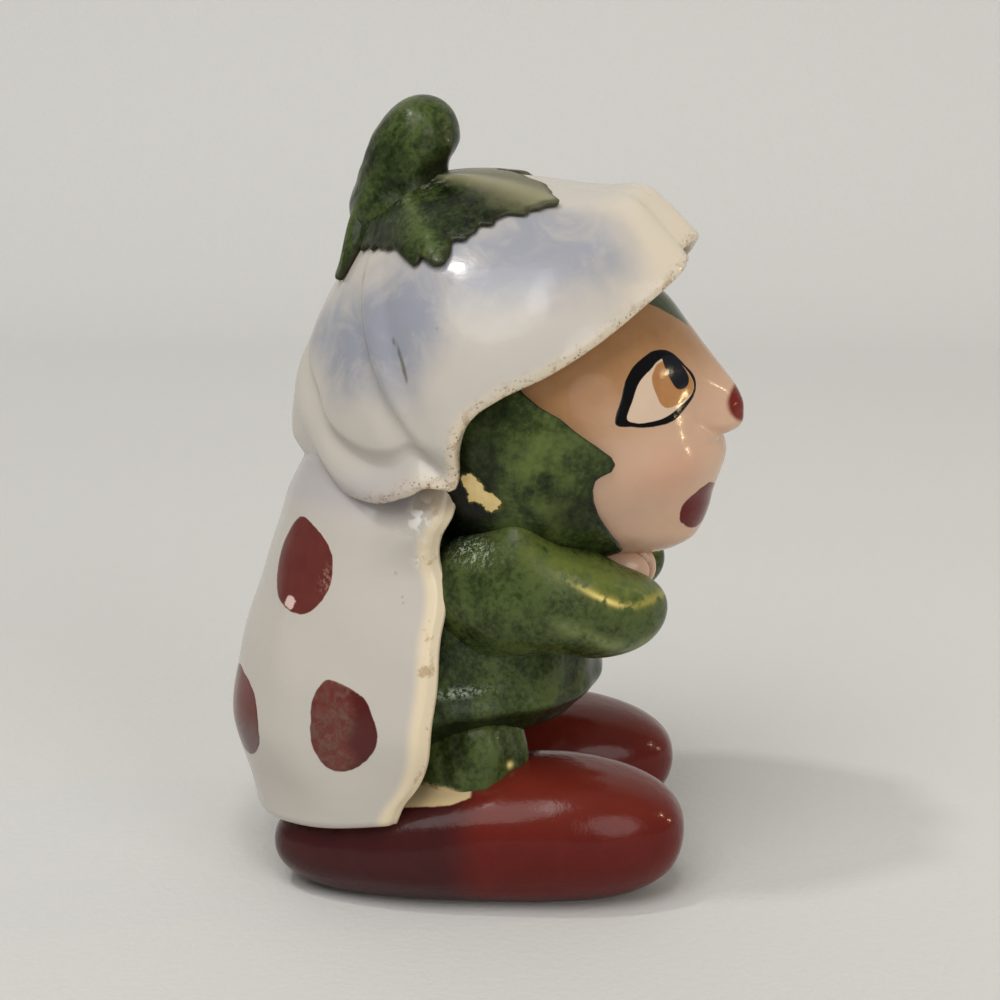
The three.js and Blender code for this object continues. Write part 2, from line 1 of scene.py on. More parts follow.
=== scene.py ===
# A glazed ceramic figurine of a child dressed as a ladybug. Shapes are written in millimetres, in the CAD frame:
# the figure looks along -Y, its right hand is on -X, and it stands on z = 0.
import math
import bpy
import numpy as np
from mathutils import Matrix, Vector


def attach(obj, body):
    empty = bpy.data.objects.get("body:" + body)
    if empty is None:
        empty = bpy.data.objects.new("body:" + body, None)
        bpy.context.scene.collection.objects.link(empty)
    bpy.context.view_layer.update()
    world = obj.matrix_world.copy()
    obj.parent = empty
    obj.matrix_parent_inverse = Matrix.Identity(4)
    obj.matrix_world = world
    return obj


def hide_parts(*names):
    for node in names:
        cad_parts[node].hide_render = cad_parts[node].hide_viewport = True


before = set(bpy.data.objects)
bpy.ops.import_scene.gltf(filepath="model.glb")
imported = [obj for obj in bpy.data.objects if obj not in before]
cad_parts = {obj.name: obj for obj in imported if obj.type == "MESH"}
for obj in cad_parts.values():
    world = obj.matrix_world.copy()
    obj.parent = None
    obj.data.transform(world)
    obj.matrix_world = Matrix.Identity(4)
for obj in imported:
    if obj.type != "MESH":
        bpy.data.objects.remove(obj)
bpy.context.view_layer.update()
mm = 0.001
deg = math.pi / 180
print("frame loaded:", len(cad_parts), "nodes")


# Small helpers for shapes; all of them take whole arrays

def swell(distance, width):  # 1 at no distance, falling to nothing past the width: exp(-(distance / width)^2)
    return np.exp(-(distance / width) ** 2)


def swells(value, rows):  # several swells added up; each row is its place, its width and its height
    return sum(height * swell(value - place, width) for place, width, height in rows)


def blend(start, end, share):  # straight mix: start + (end - start) * share
    return start + (end - start) * share


def ease(value, low, high):  # 0 below low, 1 above high, and an S-shaped rise between: 3t^2 - 2t^3
    share = np.clip((value - low) / (high - low), 0, 1)
    return share * share * (3 - 2 * share)


def through(value, places, heights):  # smooth curve through the given points, flat past both ends (cubic Hermite)
    places, heights = np.array(places, float), np.array(heights, float)
    slopes = np.gradient(heights, places)
    spot = np.clip(np.searchsorted(places, value) - 1, 0, len(places) - 2)
    step = places[spot + 1] - places[spot]
    t = np.clip((value - places[spot]) / step, 0, 1)
    start, end = heights[spot], heights[spot + 1]
    rise, fall = slopes[spot] * step, slopes[spot + 1] * step
    return ((2 * t**3 - 3 * t**2 + 1) * start + (t**3 - 2 * t**2 + t) * rise + (3 * t**2 - 2 * t**3) * end
            + (t**3 - t**2) * fall)


def squared(wave, power):  # sine or cosine pulled towards a squarer oval: sign * |wave|^power
    return np.sign(wave) * np.abs(wave) ** power


def uneven(x, y, z, size, phase):  # slow hand-made waviness between -1 and 1: crossed sine waves of that wavelength
    k = 2 * math.pi / size
    return (np.sin(k * (x + 0.6 * z) + phase) * np.cos(k * (0.8 * y - 0.5 * x) + 2 * phase)
            + np.sin(k * 1.7 * (z - 0.4 * y) + 3 * phase) * 0.5) / 1.5


def xyz(x, y, z):  # three arrays put together as points
    return np.stack(np.broadcast_arrays(x, y, z), -1)


def turned(points, angle, axis):  # points turned about the X axis (0) or the Z axis (2) by the usual rotation formulas
    first, second = ((1, 2), (0, 1))[axis == 2]
    out = points.copy()
    out[..., first] = points[..., first] * math.cos(angle) - points[..., second] * math.sin(angle)
    out[..., second] = points[..., first] * math.sin(angle) + points[..., second] * math.cos(angle)
    return out


def allRound(columns, start=-math.pi):  # one row of angles once round
    return np.linspace(start, start + 2 * math.pi, columns, endpoint=False)[None, :]


def roundGrid(rows, columns):  # rise from 0 to 1 down the rows, turn from 0 to a whole turn along the columns
    return np.linspace(0, 1, rows)[:, None], allRound(columns, 0)


def crowded(share):  # 0 to 1 with the steps crowding towards both ends: (1 - cos(pi * share)) / 2
    return (1 - np.cos(math.pi * share)) / 2


def shellRows(inside, outside, rings, edgeShare, edgeRows=12):
    # Rows of a thin shell: out along the inside, half a circle round the rim, and back along the outside.
    # Gives each row's reach (0 at the middle, 1 at the rim) and its offset from the carrying surface.
    run = np.linspace(0, 1 - edgeShare, rings)
    around = np.linspace(-math.pi / 2, math.pi / 2, edgeRows)[1:-1]
    reach = np.concatenate([run, 1 - edgeShare + edgeShare * np.cos(around), run[::-1]])
    middle, half = (inside + outside) / 2, (outside - inside) / 2
    offset = np.concatenate([np.full(rings, inside), middle + half * np.sin(around), np.full(rings, outside)])
    return reach[:, None], offset[:, None]


def ringQuads(index):  # faces between neighbouring rows of numbered points, where the columns go once round
    after = np.roll(index, -1, axis=1)
    return np.stack([index[:-1], after[:-1], after[1:], index[1:]], -1).reshape(-1, 4)


def meshPiece(name, verts, faces, fields):
    # Builds a mesh from arrays in mm; where the volume comes out negative, all its faces are turned to point outwards
    fan = np.concatenate([np.stack([f[:, 0], f[:, k], f[:, k + 1]], -1)
                          for f in faces for k in range(1, f.shape[1] - 1)])
    a, b, c = (verts[fan[:, k]] for k in range(3))
    if (a * np.cross(b, c)).sum() < 0:
        faces = [f[:, ::-1] for f in faces]
    mesh = bpy.data.meshes.new(name)
    corners = np.concatenate([f.ravel() for f in faces]).astype(np.int32)
    sizes = np.concatenate([np.full(len(f), f.shape[1]) for f in faces])
    mesh.vertices.add(len(verts))
    mesh.vertices.foreach_set("co", (verts * mm).astype(np.float32).ravel())
    mesh.loops.add(len(corners))
    mesh.loops.foreach_set("vertex_index", corners)
    mesh.polygons.add(len(sizes))
    mesh.polygons.foreach_set("loop_start", (np.cumsum(sizes) - sizes).astype(np.int32))
    mesh.update(calc_edges=True)
    mesh.polygons.foreach_set("use_smooth", np.ones(len(sizes), bool))
    for field, values in fields.items():  # what the glaze needs to know at each point
        layer = mesh.attributes.new(field, "FLOAT", "POINT")
        layer.data.foreach_set("value", np.ascontiguousarray(values, np.float32).ravel())
    mesh.validate()
    piece = bpy.data.objects.new(name, mesh)
    bpy.context.scene.collection.objects.link(piece)
    return piece


def closedPiece(name, points, fields):
    # Closed skin from a grid: the first and last rows are drawn together to a pole each, the columns go once round
    rows, columns = points.shape[:2]

    def flat(grid):
        grid = np.broadcast_to(grid, (rows, columns)) if np.ndim(grid) < 3 else grid
        return np.concatenate([grid[0].mean(0)[None], grid[1:-1].reshape(-1, *grid.shape[2:]), grid[-1].mean(0)[None]])
    ring = 1 + np.arange((rows - 2) * columns).reshape(rows - 2, columns)
    after = np.roll(ring, -1, axis=1)
    last = (rows - 2) * columns + 1
    caps = np.concatenate([np.stack([np.zeros(columns, int), after[0], ring[0]], -1),
                           np.stack([np.full(columns, last), ring[-1], after[-1]], -1)])
    fields = {field: flat(values) for field, values in fields.items()}
    return meshPiece(name, flat(points), [ringQuads(ring), caps], fields)


def smoothOutline(outline):  # Catmull-Rom curve through the corners of a closed outline, eight steps from each
    p = np.array(outline, float)
    before, after, beyond = np.roll(p, 1, 0), np.roll(p, -1, 0), np.roll(p, -2, 0)
    t = np.arange(8)[None, :, None] / 8
    curve = (2 * p[:, None] + (after - before)[:, None] * t + (2 * before - 5 * p + 4 * after - beyond)[:, None] * t**2
             + (3 * p - before - 3 * after + beyond)[:, None] * t**3) / 2
    return curve.reshape(-1, 2)


def insideBy(u, v, outline, stretch):
    # How far each surface point lies inside a painted outline, in mm (negative outside): the distance to the nearest
    # side of the outline, with its sign from the number of sides that a level line to the right crosses
    corners = smoothOutline(outline) * np.array(stretch)
    shape = np.broadcast(u, v).shape
    spot = np.stack([np.broadcast_to(u, shape) * stretch[0], np.broadcast_to(v, shape) * stretch[1]], -1).reshape(-1, 2)
    nearest, crossings = np.full(len(spot), 1e9), np.zeros(len(spot), int)
    for start, end in zip(corners, np.roll(corners, -1, 0)):
        side = end - start
        share = np.clip(((spot - start) @ side) / max(side @ side, 1e-12), 0, 1)
        nearest = np.minimum(nearest, np.linalg.norm(spot - start - share[:, None] * side, axis=1))
        straddles = (start[1] > spot[:, 1]) != (end[1] > spot[:, 1])
        crossing = start[0] + (spot[:, 1] - start[1]) * side[0] / (side[1] if abs(side[1]) > 1e-9 else 1e-9)
        crossings += straddles & (spot[:, 0] < crossing)
    return np.where(crossings % 2 == 1, nearest, -nearest).reshape(shape)


# The head, worked out round its own centre and then turned to its place

head = dict(
    centre=(0, -7, 58), turn=8, halfWidth=21.6, halfDepth=22, rise=21.5, drop=17.5, mmPerDegree=(0.38, 0.4),
    noseFold=(18.5, 8, 10.5), foldDepth=0.4, nostril=0.6, cheek=0.9, mouth=(13, -23, 9), mouthDepth=0.25,
    hairLine=(33, 0.58), noseTip=(9.5, 6.5))
profile = dict(  # slope in degrees, how far the face stands out from the plain egg there, and how wide it does
    nose=((-5, -3.2, -1.6, 0.7, 4, 7, 11, 16, 24, 33, 45, 62),
          (0, 0.2, 1.85, 3.2, 3.78, 3.9, 3.4, 2.4, 1.2, 0.6, 0.75, 0.2),
          (11, 11, 11, 11, 10.5, 11, 12.5, 15, 19, 24, 32, 40)),
    jaw=((-80, -58, -46, -40, -35, -30.7, -25.6, -21, -16, -7.4, -3, 1, 8),
         (0.5, 2.3, 3.5, 4.3, 4.6, 4.2, 3.6, 2.9, 2.5, 2.1, 1.3, 0.5, 0),
         (45, 42, 41, 40, 38, 35, 32, 30, 29, 28, 26, 24, 24)))
facePaint = dict(  # painted outlines on the face: turn away from its middle and slope above its centre, in degrees
    eye=((55.1, 8.6), (52.2, 16.2), (49.1, 22), (44, 26.4), (34.7, 29.7), (27.6, 29.3), (23.4, 27), (20.3, 23),
         (17.7, 19), (18.1, 15.2), (21.2, 11.7), (27.2, 8.8), (33.3, 6.6), (41.8, 6.2), (48.7, 7)),
    white=((50.8, 9.8), (48.2, 14.9), (44.2, 20.5), (37.5, 24.3), (32.2, 26.6), (25.6, 26.7), (21.7, 23), (19.1, 18.6),
           (19.2, 15.3), (22.3, 12.6), (28.7, 10.4), (35.5, 8.5), (42.1, 7.8), (47.2, 8.1)),
    iris=((37.9, 22), (38.2, 16.9), (35.4, 11.7), (29, 11.4), (22.1, 13.2), (18.1, 15.8), (18.7, 19.2), (22.4, 23.9),
          (32.1, 25.9)),
    pupil=((30, 29.1), (30.8, 24.4), (29.8, 19.6), (27.3, 16.3), (22.6, 16.2), (20.4, 18.8), (21.7, 23), (24.2, 26.9)),
    mouth=((-24, -22), (-19, -17.8), (-14, -16), (-10, -16.1), (-5, -17.4), (0, -18.2), (5, -17.4), (10, -16.1),
           (14, -16), (19, -17.8), (24, -22), (22, -27.5), (15, -30.6), (8, -31), (0, -29.8), (-8, -31), (-15, -30.6),
           (-22, -27.5)))


def headRadius(direction):
    # Egg radius 1 / |(x/a, y/b, z/c)|, plus nose and jaw, each with its reach by slope and fading sideways as a swell,
    # plus the fold and the wings round the nose, the cheeks and the dip of the mouth as swells of their own
    x, y, z = (direction[..., k] for k in range(3))
    slope, turn = np.arcsin(np.clip(z, -1, 1)) / deg, np.arctan2(x, -y) / deg
    half = np.where(z > 0, head["rise"], head["drop"])
    egg = 1 / np.sqrt((x / head["halfWidth"]) ** 2 + (y / head["halfDepth"]) ** 2 + (z / half) ** 2)
    nose, jaw = (through(slope, slopes, reach) * swell(turn, through(slope, slopes, widths))
                 for slopes, reach, widths in (profile["nose"], profile["jaw"]))
    around, lips = (np.hypot(turn / across, (slope - middle) / up)  # 1 on the fold round the nose and on the lips
                    for across, middle, up in (head["noseFold"], head["mouth"]))
    fold = head["foldDepth"] * swell(around - 1, 0.13) * ease(-slope, -14, 2)
    nostril = head["nostril"] * ease(1.1 - around, 0, 0.5) * ease(np.abs(turn), 3, 9) * ease(-slope, -12, 0)
    cheek = head["cheek"] * swell(np.abs(turn) - 33, 15) * swell(slope + 10, 12)
    return egg + nose + jaw - fold + nostril + cheek - head["mouthDepth"] * swell(lips, 0.9)


def inFigure(points):  # from the head's own centre to the figure: turned about Z, then moved
    return turned(points, -head["turn"] * deg, 2) + np.array(head["centre"])


def buildHead():
    # Directions over the whole ball times the head's radius; rows and columns crowd towards the face by a sine
    rise, turn = roundGrid(230, 320)
    angle = turn - 0.5 * np.sin(turn)
    slope = (rise - 0.5) * math.pi - 0.25 * np.sin((rise - 0.5) * 2 * math.pi)
    way = xyz(np.sin(angle) * np.cos(slope), -np.cos(angle) * np.cos(slope), np.sin(slope))
    near = np.abs(np.arctan2(np.sin(angle), np.cos(angle))) / deg
    slope = slope / deg
    fields = {word: insideBy(near, slope, outline, head["mmPerDegree"]) for word, outline in facePaint.items()}
    points = way * headRadius(way)[..., None]
    underHat = turned(points - np.array([0, hat["behind"], hat["above"]]), hat["lean"] * deg, 0)[..., 2]
    (across, up), (highest, fall) = head["noseTip"], head["hairLine"]
    fields.update(near=near, slope=slope, underHat=underHat, tip=swell(near, across) * swell(slope - up, up),
                  lock=(slope - highest - fall * near) * 0.35)
    return closedPiece("headSkin", inFigure(points), fields)


# The leaf hood: a thin shell on the head, its middle at the back, its edge drawn in leaf points

hood = dict(
    inside=0.25, outside=1.15, waves=0.25, waveCount=9, waveTwist=2.5, lumps=0.2, mmPerDegree=0.39,
    chip=((97.9, 76), (96.8, 77.6), (96.8, 79.6), (98.4, 81.2), (100.1, 82.9), (102, 82.7), (102.4, 84.5),
          (103.8, 86.8), (106.3, 88.4), (107.3, 87), (106.9, 88.4), (108.6, 86.6), (109.7, 83.8), (107.4, 82.6),
          (106.3, 79.6), (106.9, 77.7), (103.5, 77.6), (101.8, 76.8), (100.7, 76)),
    rounds=(0, 30, 60, 70.9, 75.3, 78.4, 82.3, 87.3, 91.4, 94.5, 97.0, 98.2, 99.5, 103.1, 108.4, 116.2, 124.2, 133, 141,
            146, 155, 168, 180),
    edges=(84, 84, 88, 94.5, 100.3, 106.3, 110.9, 117.7, 122.4, 123.9, 122.8, 119.6, 117.6, 116.8, 117.1, 118.9, 121.4,
           123.8, 125.2, 121, 114, 110, 108))


def buildHood():
    # Head's radius plus the shell's offset, over directions that run from the back of the head out to the leafy edge
    reach, offset = shellRows(hood["inside"], hood["outside"], 90, 0.012)
    turn = allRound(520)
    edge = np.interp(np.abs(turn) / deg, hood["rounds"], hood["edges"])
    back = edge * deg * reach  # angle from the back of the head
    way = xyz(np.sin(back) * np.sin(turn), np.cos(back), np.sin(back) * np.cos(turn))
    ripple = hood["waves"] * np.sin(hood["waveCount"] * turn + hood["waveTwist"] * reach) * reach**2
    ripple = ripple + hood["lumps"] * uneven(*np.moveaxis(way * 20, -1, 0), 13, 0.7)
    radius = headRadius(way) + offset + ripple * (offset > 0.7)
    scale = hood["mmPerDegree"]
    chip = insideBy(-turn / deg, back / deg, hood["chip"], (scale, scale))
    fields = dict(chip=chip, edge=(1 - reach) * edge * scale, ripple=ripple, turn=turn / deg, back=back / deg)
    return closedPiece("hoodSkin", inFigure(way * radius[..., None]), fields)


# The flower hat: a bell of petals that leans back on the head

hat = dict(
    lean=31, behind=4, above=7.5, halfWidth=24.3, front=26.8, back=29.0, height=24.4, wall=2.4,
    grooves=((-8.5, 5, 1.1), (24, 6, 0.7)), backGroove=(7, 0.5),  # place and width in degrees, then depth in mm
    frontLobes=((-22, 12, 2.645), (6, 12, 2.07), (38, 12, 2.3)), backLobe=(121, 23, 1.9),
    puffs=((12, 26, 3.4), (0, 50, 0.8)),
    petalLift=1.1, petalCrease=0.6, foldHeight=0.9, foldDepth=0.7, foldLip=0.5, secondFold=0.6, softness=0.25,
    rimPlaces=(0, 8, 22, 41, 71, 85, 92, 96, 98, 100, 102, 104, 105.5, 107, 109, 114, 119, 124, 133, 140, 148, 154, 160,
               165, 172, 180),
    rimDrops=(-1.2, -0.8, 0.8, 2.2, 2.9, 2.4, 2.7, 3.6, 4.6, 5.8, 7.4, 8.7, 9.1, 8.3, 7.4, 7.2, 6.9, 6.5, 4.9, 3.4, 2,
              -0.8, -3.5, -5, -4.6, -3.6),
    # petalEdge and secondLine: reach, then angle; foldLine: angle, then reach
    petalEdge=((0.3, 0.47, 0.61, 0.73, 0.81, 0.89, 0.95, 1), (119, 117.5, 115, 112, 109, 106, 103, 101)),
    foldLine=((100, 107, 120, 129.5, 135.5, 141, 148, 155, 165),
              (0.9, 0.885, 0.86, 0.807, 0.765, 0.715, 0.655, 0.6, 0.5)),
    secondLine=((0.45, 0.7, 1), (146, 143, 150)))
hatPaint = dict(  # painted tints by angle from the front in degrees and reach from the crown
    frontTint=((61, 0.29), (61.5, 0.51), (39.8, 0.503), (33, 0.74), (39.2, 0.84), (56.8, 0.772), (78.2, 0.638),
               (81.2, 0.55)),
    backTint=((87, 0.49), (90.5, 0.67), (103.8, 0.715), (134.8, 0.615), (152.2, 0.5)),
    mark=((104.6, 0.63), (103.6, 0.655), (103.2, 0.69), (103.4, 0.74), (102.4, 0.74), (102, 0.69), (102.6, 0.65),
          (103.4, 0.63)))


def hatPoint(angle, reach, offset):
    # Crown to rim along a rounded bell: out = sin(s)^(2/f), height = cos(s)^(2/f), with the fullness f changing from
    # front to side to back; near the rim the petals' lobes, grooves and rim line come in with reach^3
    turn = np.arctan2(np.sin(angle), np.cos(angle)) / deg
    near = np.abs(turn)
    back = -np.cos(angle)
    ends = np.where(back > 0, hat["back"], hat["front"])
    full = np.where(back > 0, blend(1.7, 1.55, back), blend(1.7, 1.54, -back))
    slide = reach * math.pi / 2
    share, level = np.sin(slide) ** (2 / full), np.cos(slide).clip(0) ** (2 / full)
    fade = reach**3
    backWidth, backDepth = hat["backGroove"]
    groove = (swells(turn, hat["grooves"]) + backDepth * swell(near - 180, backWidth)) * fade
    lobePlace, lobeWidth, lobeHeight = hat["backLobe"]
    backLobe = lobeHeight * swell((near - lobePlace) ** 2, lobeWidth**2)
    lobes = (swells(turn, hat["frontLobes"]) + backLobe) * fade
    rim = fade * through(near, hat["rimPlaces"], hat["rimDrops"])
    puff = swells(near, hat["puffs"]) * swell(reach - 0.82, 0.17) * ease(1.03 - reach, 0, 0.24)
    # the side petal lies over the back lobe: its edge runs from the calyx down to the neck of the rim
    border = through(reach, *hat["petalEdge"]) - near
    over = ease(border, -2.2, 2.6) * swell(np.clip(border - 2, 0, None), 26) * ease(reach, 0.3, 0.55)
    crease = swell(border + 2.5, 4) * ease(reach, 0.38, 0.6)
    # below a fold that turns round the back, the lobe sinks and then swells out again
    bend = reach - through(near, *hat["foldLine"])
    lip = hat["foldLip"] * swell(np.clip(-bend, 0, None), 0.1) * ease(bend, 0.015, -0.01)
    fold = lip - hat["foldDepth"] * swell(bend - 0.035, 0.035) + hat["foldHeight"] * swell(bend - 0.125, 0.06)
    fold = fold * ease(near, 102, 110) * ease(172 - near, 0, 16)
    second = hat["secondFold"] * swell(near - through(reach, *hat["secondLine"]), 6) * swell(reach - 0.6, 0.16)
    soft = hat["softness"] * uneven(angle * 20, reach * 30, 0, 23, 1.9) * ease(reach, 0.3, 0.6)
    relief = np.where(offset > -0.9, 1, 0.3)  # the inside follows the petals' relief only weakly
    petal = relief * (hat["petalLift"] * over - hat["petalCrease"] * crease)
    out = offset + lobes - groove + petal + relief * (fold - second + soft)
    raised = relief * (0.5 * over - 0.3 * crease) - 0.5 * groove
    height = (hat["height"] + offset) * level - rim + puff + raised * level
    return xyz((hat["halfWidth"] + out) * share * np.sin(angle), (ends + out) * share * back, height)


def fromHat(points):  # from the leaning hat to the figure
    return inFigure(turned(points, -hat["lean"] * deg, 0) + np.array([0, hat["behind"], hat["above"]]))


def buildHat():
    # The bell as a shell: hatPoint along the inside, round the rim and back along the outside
    reach, offset = shellRows(-hat["wall"], 0, 125, 0.045, 14)
    angle = allRound(340)
    near = np.abs(angle) / deg
    fields = {word: insideBy(near, reach, outline, (0.4, 30)) for word, outline in hatPaint.items()}
    fields.update(near=near, reach=reach, offset=offset)
    return closedPiece("hatSkin", fromHat(hatPoint(angle, reach, offset)), fields)


# The calyx: green sepals that lie on the crown, and the stem that stands on them

calyx = dict(
    inside=0.15, outside=0.95, ridges=((32, 6, 1), (82, 6, 1), (146, 8, 1)), ridgeHeight=0.45,
    ragged=((31, 0.006, 0), (57, 0.004, 1)),  # number of teeth once round, their size and their start
    angles=(-180, -165, -150, -141, -134, -115, -100, -95, -90, -86, -83.5, -79, -73, -60, -50, -38, -30, -19, -10, 0,
            12, 25, 38, 46, 60, 75, 88, 96, 108, 125, 140, 150, 160, 170, 180),
    reaches=(0.36, 0.34, 0.37, 0.4, 0.3, 0.335, 0.385, 0.43, 0.505, 0.5, 0.545, 0.547, 0.505, 0.5, 0.503, 0.55, 0.565,
             0.487, 0.4, 0.33, 0.32, 0.38, 0.46, 0.45, 0.41, 0.43, 0.53, 0.5, 0.38, 0.33, 0.4, 0.45, 0.4, 0.36, 0.36))


def buildCalyx():
    # A thin shell on the hat's surface, out to a ragged star line, with a rib on each sepal and a fillet at the stem
    reach, offset = shellRows(calyx["inside"], calyx["outside"], 46, 0.02, 10)
    angle = allRound(360)
    near, back, outer = np.abs(angle) / deg, -np.cos(angle), offset > 0.5
    edge = np.interp(angle / deg, calyx["angles"], calyx["reaches"])
    edge = edge + sum(size * np.sin(count * angle + phase) for count, size, phase in calyx["ragged"])
    ridge = swells(near, calyx["ridges"])
    fillet = (0.9 * ease(back, -0.3, 0.8) + 1.9 * ease(back, 0.3, 0.95)) * ease(1 - reach, 0, 0.55)
    thick = offset * blend(1, 0.75, reach) + (calyx["ridgeHeight"] * ridge * reach + fillet) * outer
    grid = fromHat(hatPoint(angle, edge * reach, thick))
    fields = dict(near=near, reach=reach, ridge=ridge * outer, edge=(1 - reach) * edge * 34)
    return closedPiece("calyxSkin", grid, fields)


def alongPath(path, radii, rows, columns, sharpness):
    # Round-ended limb: a smooth line through the given points carries an oval whose radii are read along it, and both
    # ends close as sqrt(1 - |2s - 1|^sharpness). Gives the points, the oval's middles and the share along the limb
    path = np.array(path, float)
    knots = np.linspace(0, 1, len(path))
    share = crowded(np.linspace(0, 1, rows))
    line = np.stack([through(share, knots, path[:, k]) for k in range(3)], -1)
    way = np.gradient(line, axis=0)
    way /= np.linalg.norm(way, axis=1)[:, None]
    first = np.cross(way, (0, 0, 1.0) if abs(way[rows // 2, 2]) < 0.8 else (0, 1.0, 0))
    first /= np.linalg.norm(first, axis=1)[:, None]
    second = np.cross(way, first)
    close = np.sqrt(np.clip(1 - np.abs(2 * share - 1) ** sharpness, 0, 1))[:, None]
    turn = allRound(columns, 0)
    wide, high = (through(share, knots, r)[:, None] * close for r in radii)
    points = (line[:, None] + (wide * np.cos(turn))[..., None] * first[:, None]
              + (high * np.sin(turn))[..., None] * second[:, None])
    return points, points.mean(1, keepdims=True), share[:, None]


stem = dict(path=((0, 17.5, 20.5), (0, 17.4, 26), (0, 16.4, 31.5), (0, 14.6, 36.0), (0, 12.7, 39.7)),
            wide=(6.4, 6.4, 6.1, 5.5, 4.8), deep=(6.4, 6.3, 5.9, 5.1, 4.2), lumps=0.16, grain=0.07,
            hollowHeight=31.2, hollowDepth=1.2, footTop=29.5, footFlare=0.12, radius=6.5)


def buildStem():
    # A thick thumb that bends forward; under its tip, at the front, is a hollow, laid nearly black as painted shade
    points, middle, _ = alongPath(stem["path"], (stem["wide"], stem["deep"]), 120, 160, 4)
    x, ahead, z = points[..., 0], middle[..., 1] - points[..., 1], points[..., 2]
    hollow = ease(ahead, 0.5, 5) * swell(z - stem["hollowHeight"], 2.7)
    rough = stem["lumps"] * uneven(x, ahead, z, 9, 0.4) + stem["grain"] * uneven(x, ahead, z, 3.7, 2.2)
    flare = stem["footFlare"] * ease(stem["footTop"] - z, 0, 3)
    grow = 1 + (rough - stem["hollowDepth"] * hollow) / stem["radius"] + flare
    points = middle + (points - middle) * grow[..., None]
    return closedPiece("stemSkin", inFigure(points), dict(hollow=hollow, rough=rough))


# The wing cases: two thick shells that meet in a seam at the back

wing = dict(top=55, bottom=9, lift=2.2, thick=2.9, halfWidth=25.15, shoulder=18.2, back=32.5, upperBack=24.4,
            tuck=3.2, sideTuck=1.5, squareness=0.8, front=4, seam=0.35, cornerBulge=3.2, endRound=1.3, waves=0.2,
            edgeHeights=(9, 12, 14, 17, 24, 29, 34, 38, 41, 43, 47, 49.5, 53, 55),
            edgePlaces=(10, 8.8, 7.5, 6.2, 5.2, 4.6, 4.3, 3.8, 3.9, 4.5, 4.4, 3.2, 2.5, 2.4),
            bevelPlaces=(0, 0.5, 0.64, 0.72, 0.8, 0.9, 1), bevelWidths=(1.3, 1.3, 1.6, 2.2, 3.1, 5, 5.4))
wingPaint = dict(  # painted spots by angle from the seam in degrees and height in mm
    High=((35.8, 47.8), (45.5, 46.7), (52.2, 44.1), (53.5, 40.7), (51, 38.2), (45.5, 36.7), (38.5, 37.1), (33.2, 38.5),
          (29.5, 41.8), (29.9, 45)),
    Low=((57.9, 29.8), (64, 29.3), (69.8, 27.8), (72.8, 25.1), (73.2, 22.7), (69.9, 20.3), (64.3, 18.7), (59, 19.2),
         (55.6, 21.7), (54.7, 24.8), (55.3, 27.9)),
    Back=((18.5, 27.4), (29.4, 26.9), (34.9, 25.2), (38.3, 21.1), (36.1, 18.7), (31.2, 17.4), (26.5, 17.8), (22, 19.5),
          (18, 22)))


def wingRings(rise):
    # Half width, back reach and front edge of both wing cases at a share of their height
    upper, lower = ease(rise, 0.25, 1), 1 - ease(rise, -0.02, 0.27)
    top = 2 * ease(rise, 0.84, 1)
    wide = blend(wing["halfWidth"], wing["shoulder"], upper) - wing["sideTuck"] * lower - top
    back = blend(wing["back"], wing["upperBack"], upper) - wing["tuck"] * lower - top
    height = blend(wing["bottom"], wing["top"], rise)
    return wide, back, through(height, wing["edgeHeights"], wing["edgePlaces"])


def wingWall(around, rise, depth):
    # Plan curve (sin^k, cos^k of a quarter turn) from the seam (0) to the front edge (1), drawn in by depth
    wide, back, front = wingRings(rise)
    angle = around * math.pi / 2
    out = (wide - depth - wing["seam"]) * np.sin(angle) ** wing["squareness"] + wing["seam"]
    out = out + wing["cornerBulge"] * ease(around, 0.78, 0.98) * ease(rise, 0.7, 0.9)  # it reaches the hat's rim
    behind = (back - depth - front) * np.cos(angle).clip(0) ** wing["squareness"]
    bottom = wing["bottom"] + wing["lift"] * around**2
    return out, front + behind, blend(bottom, wing["top"], rise)


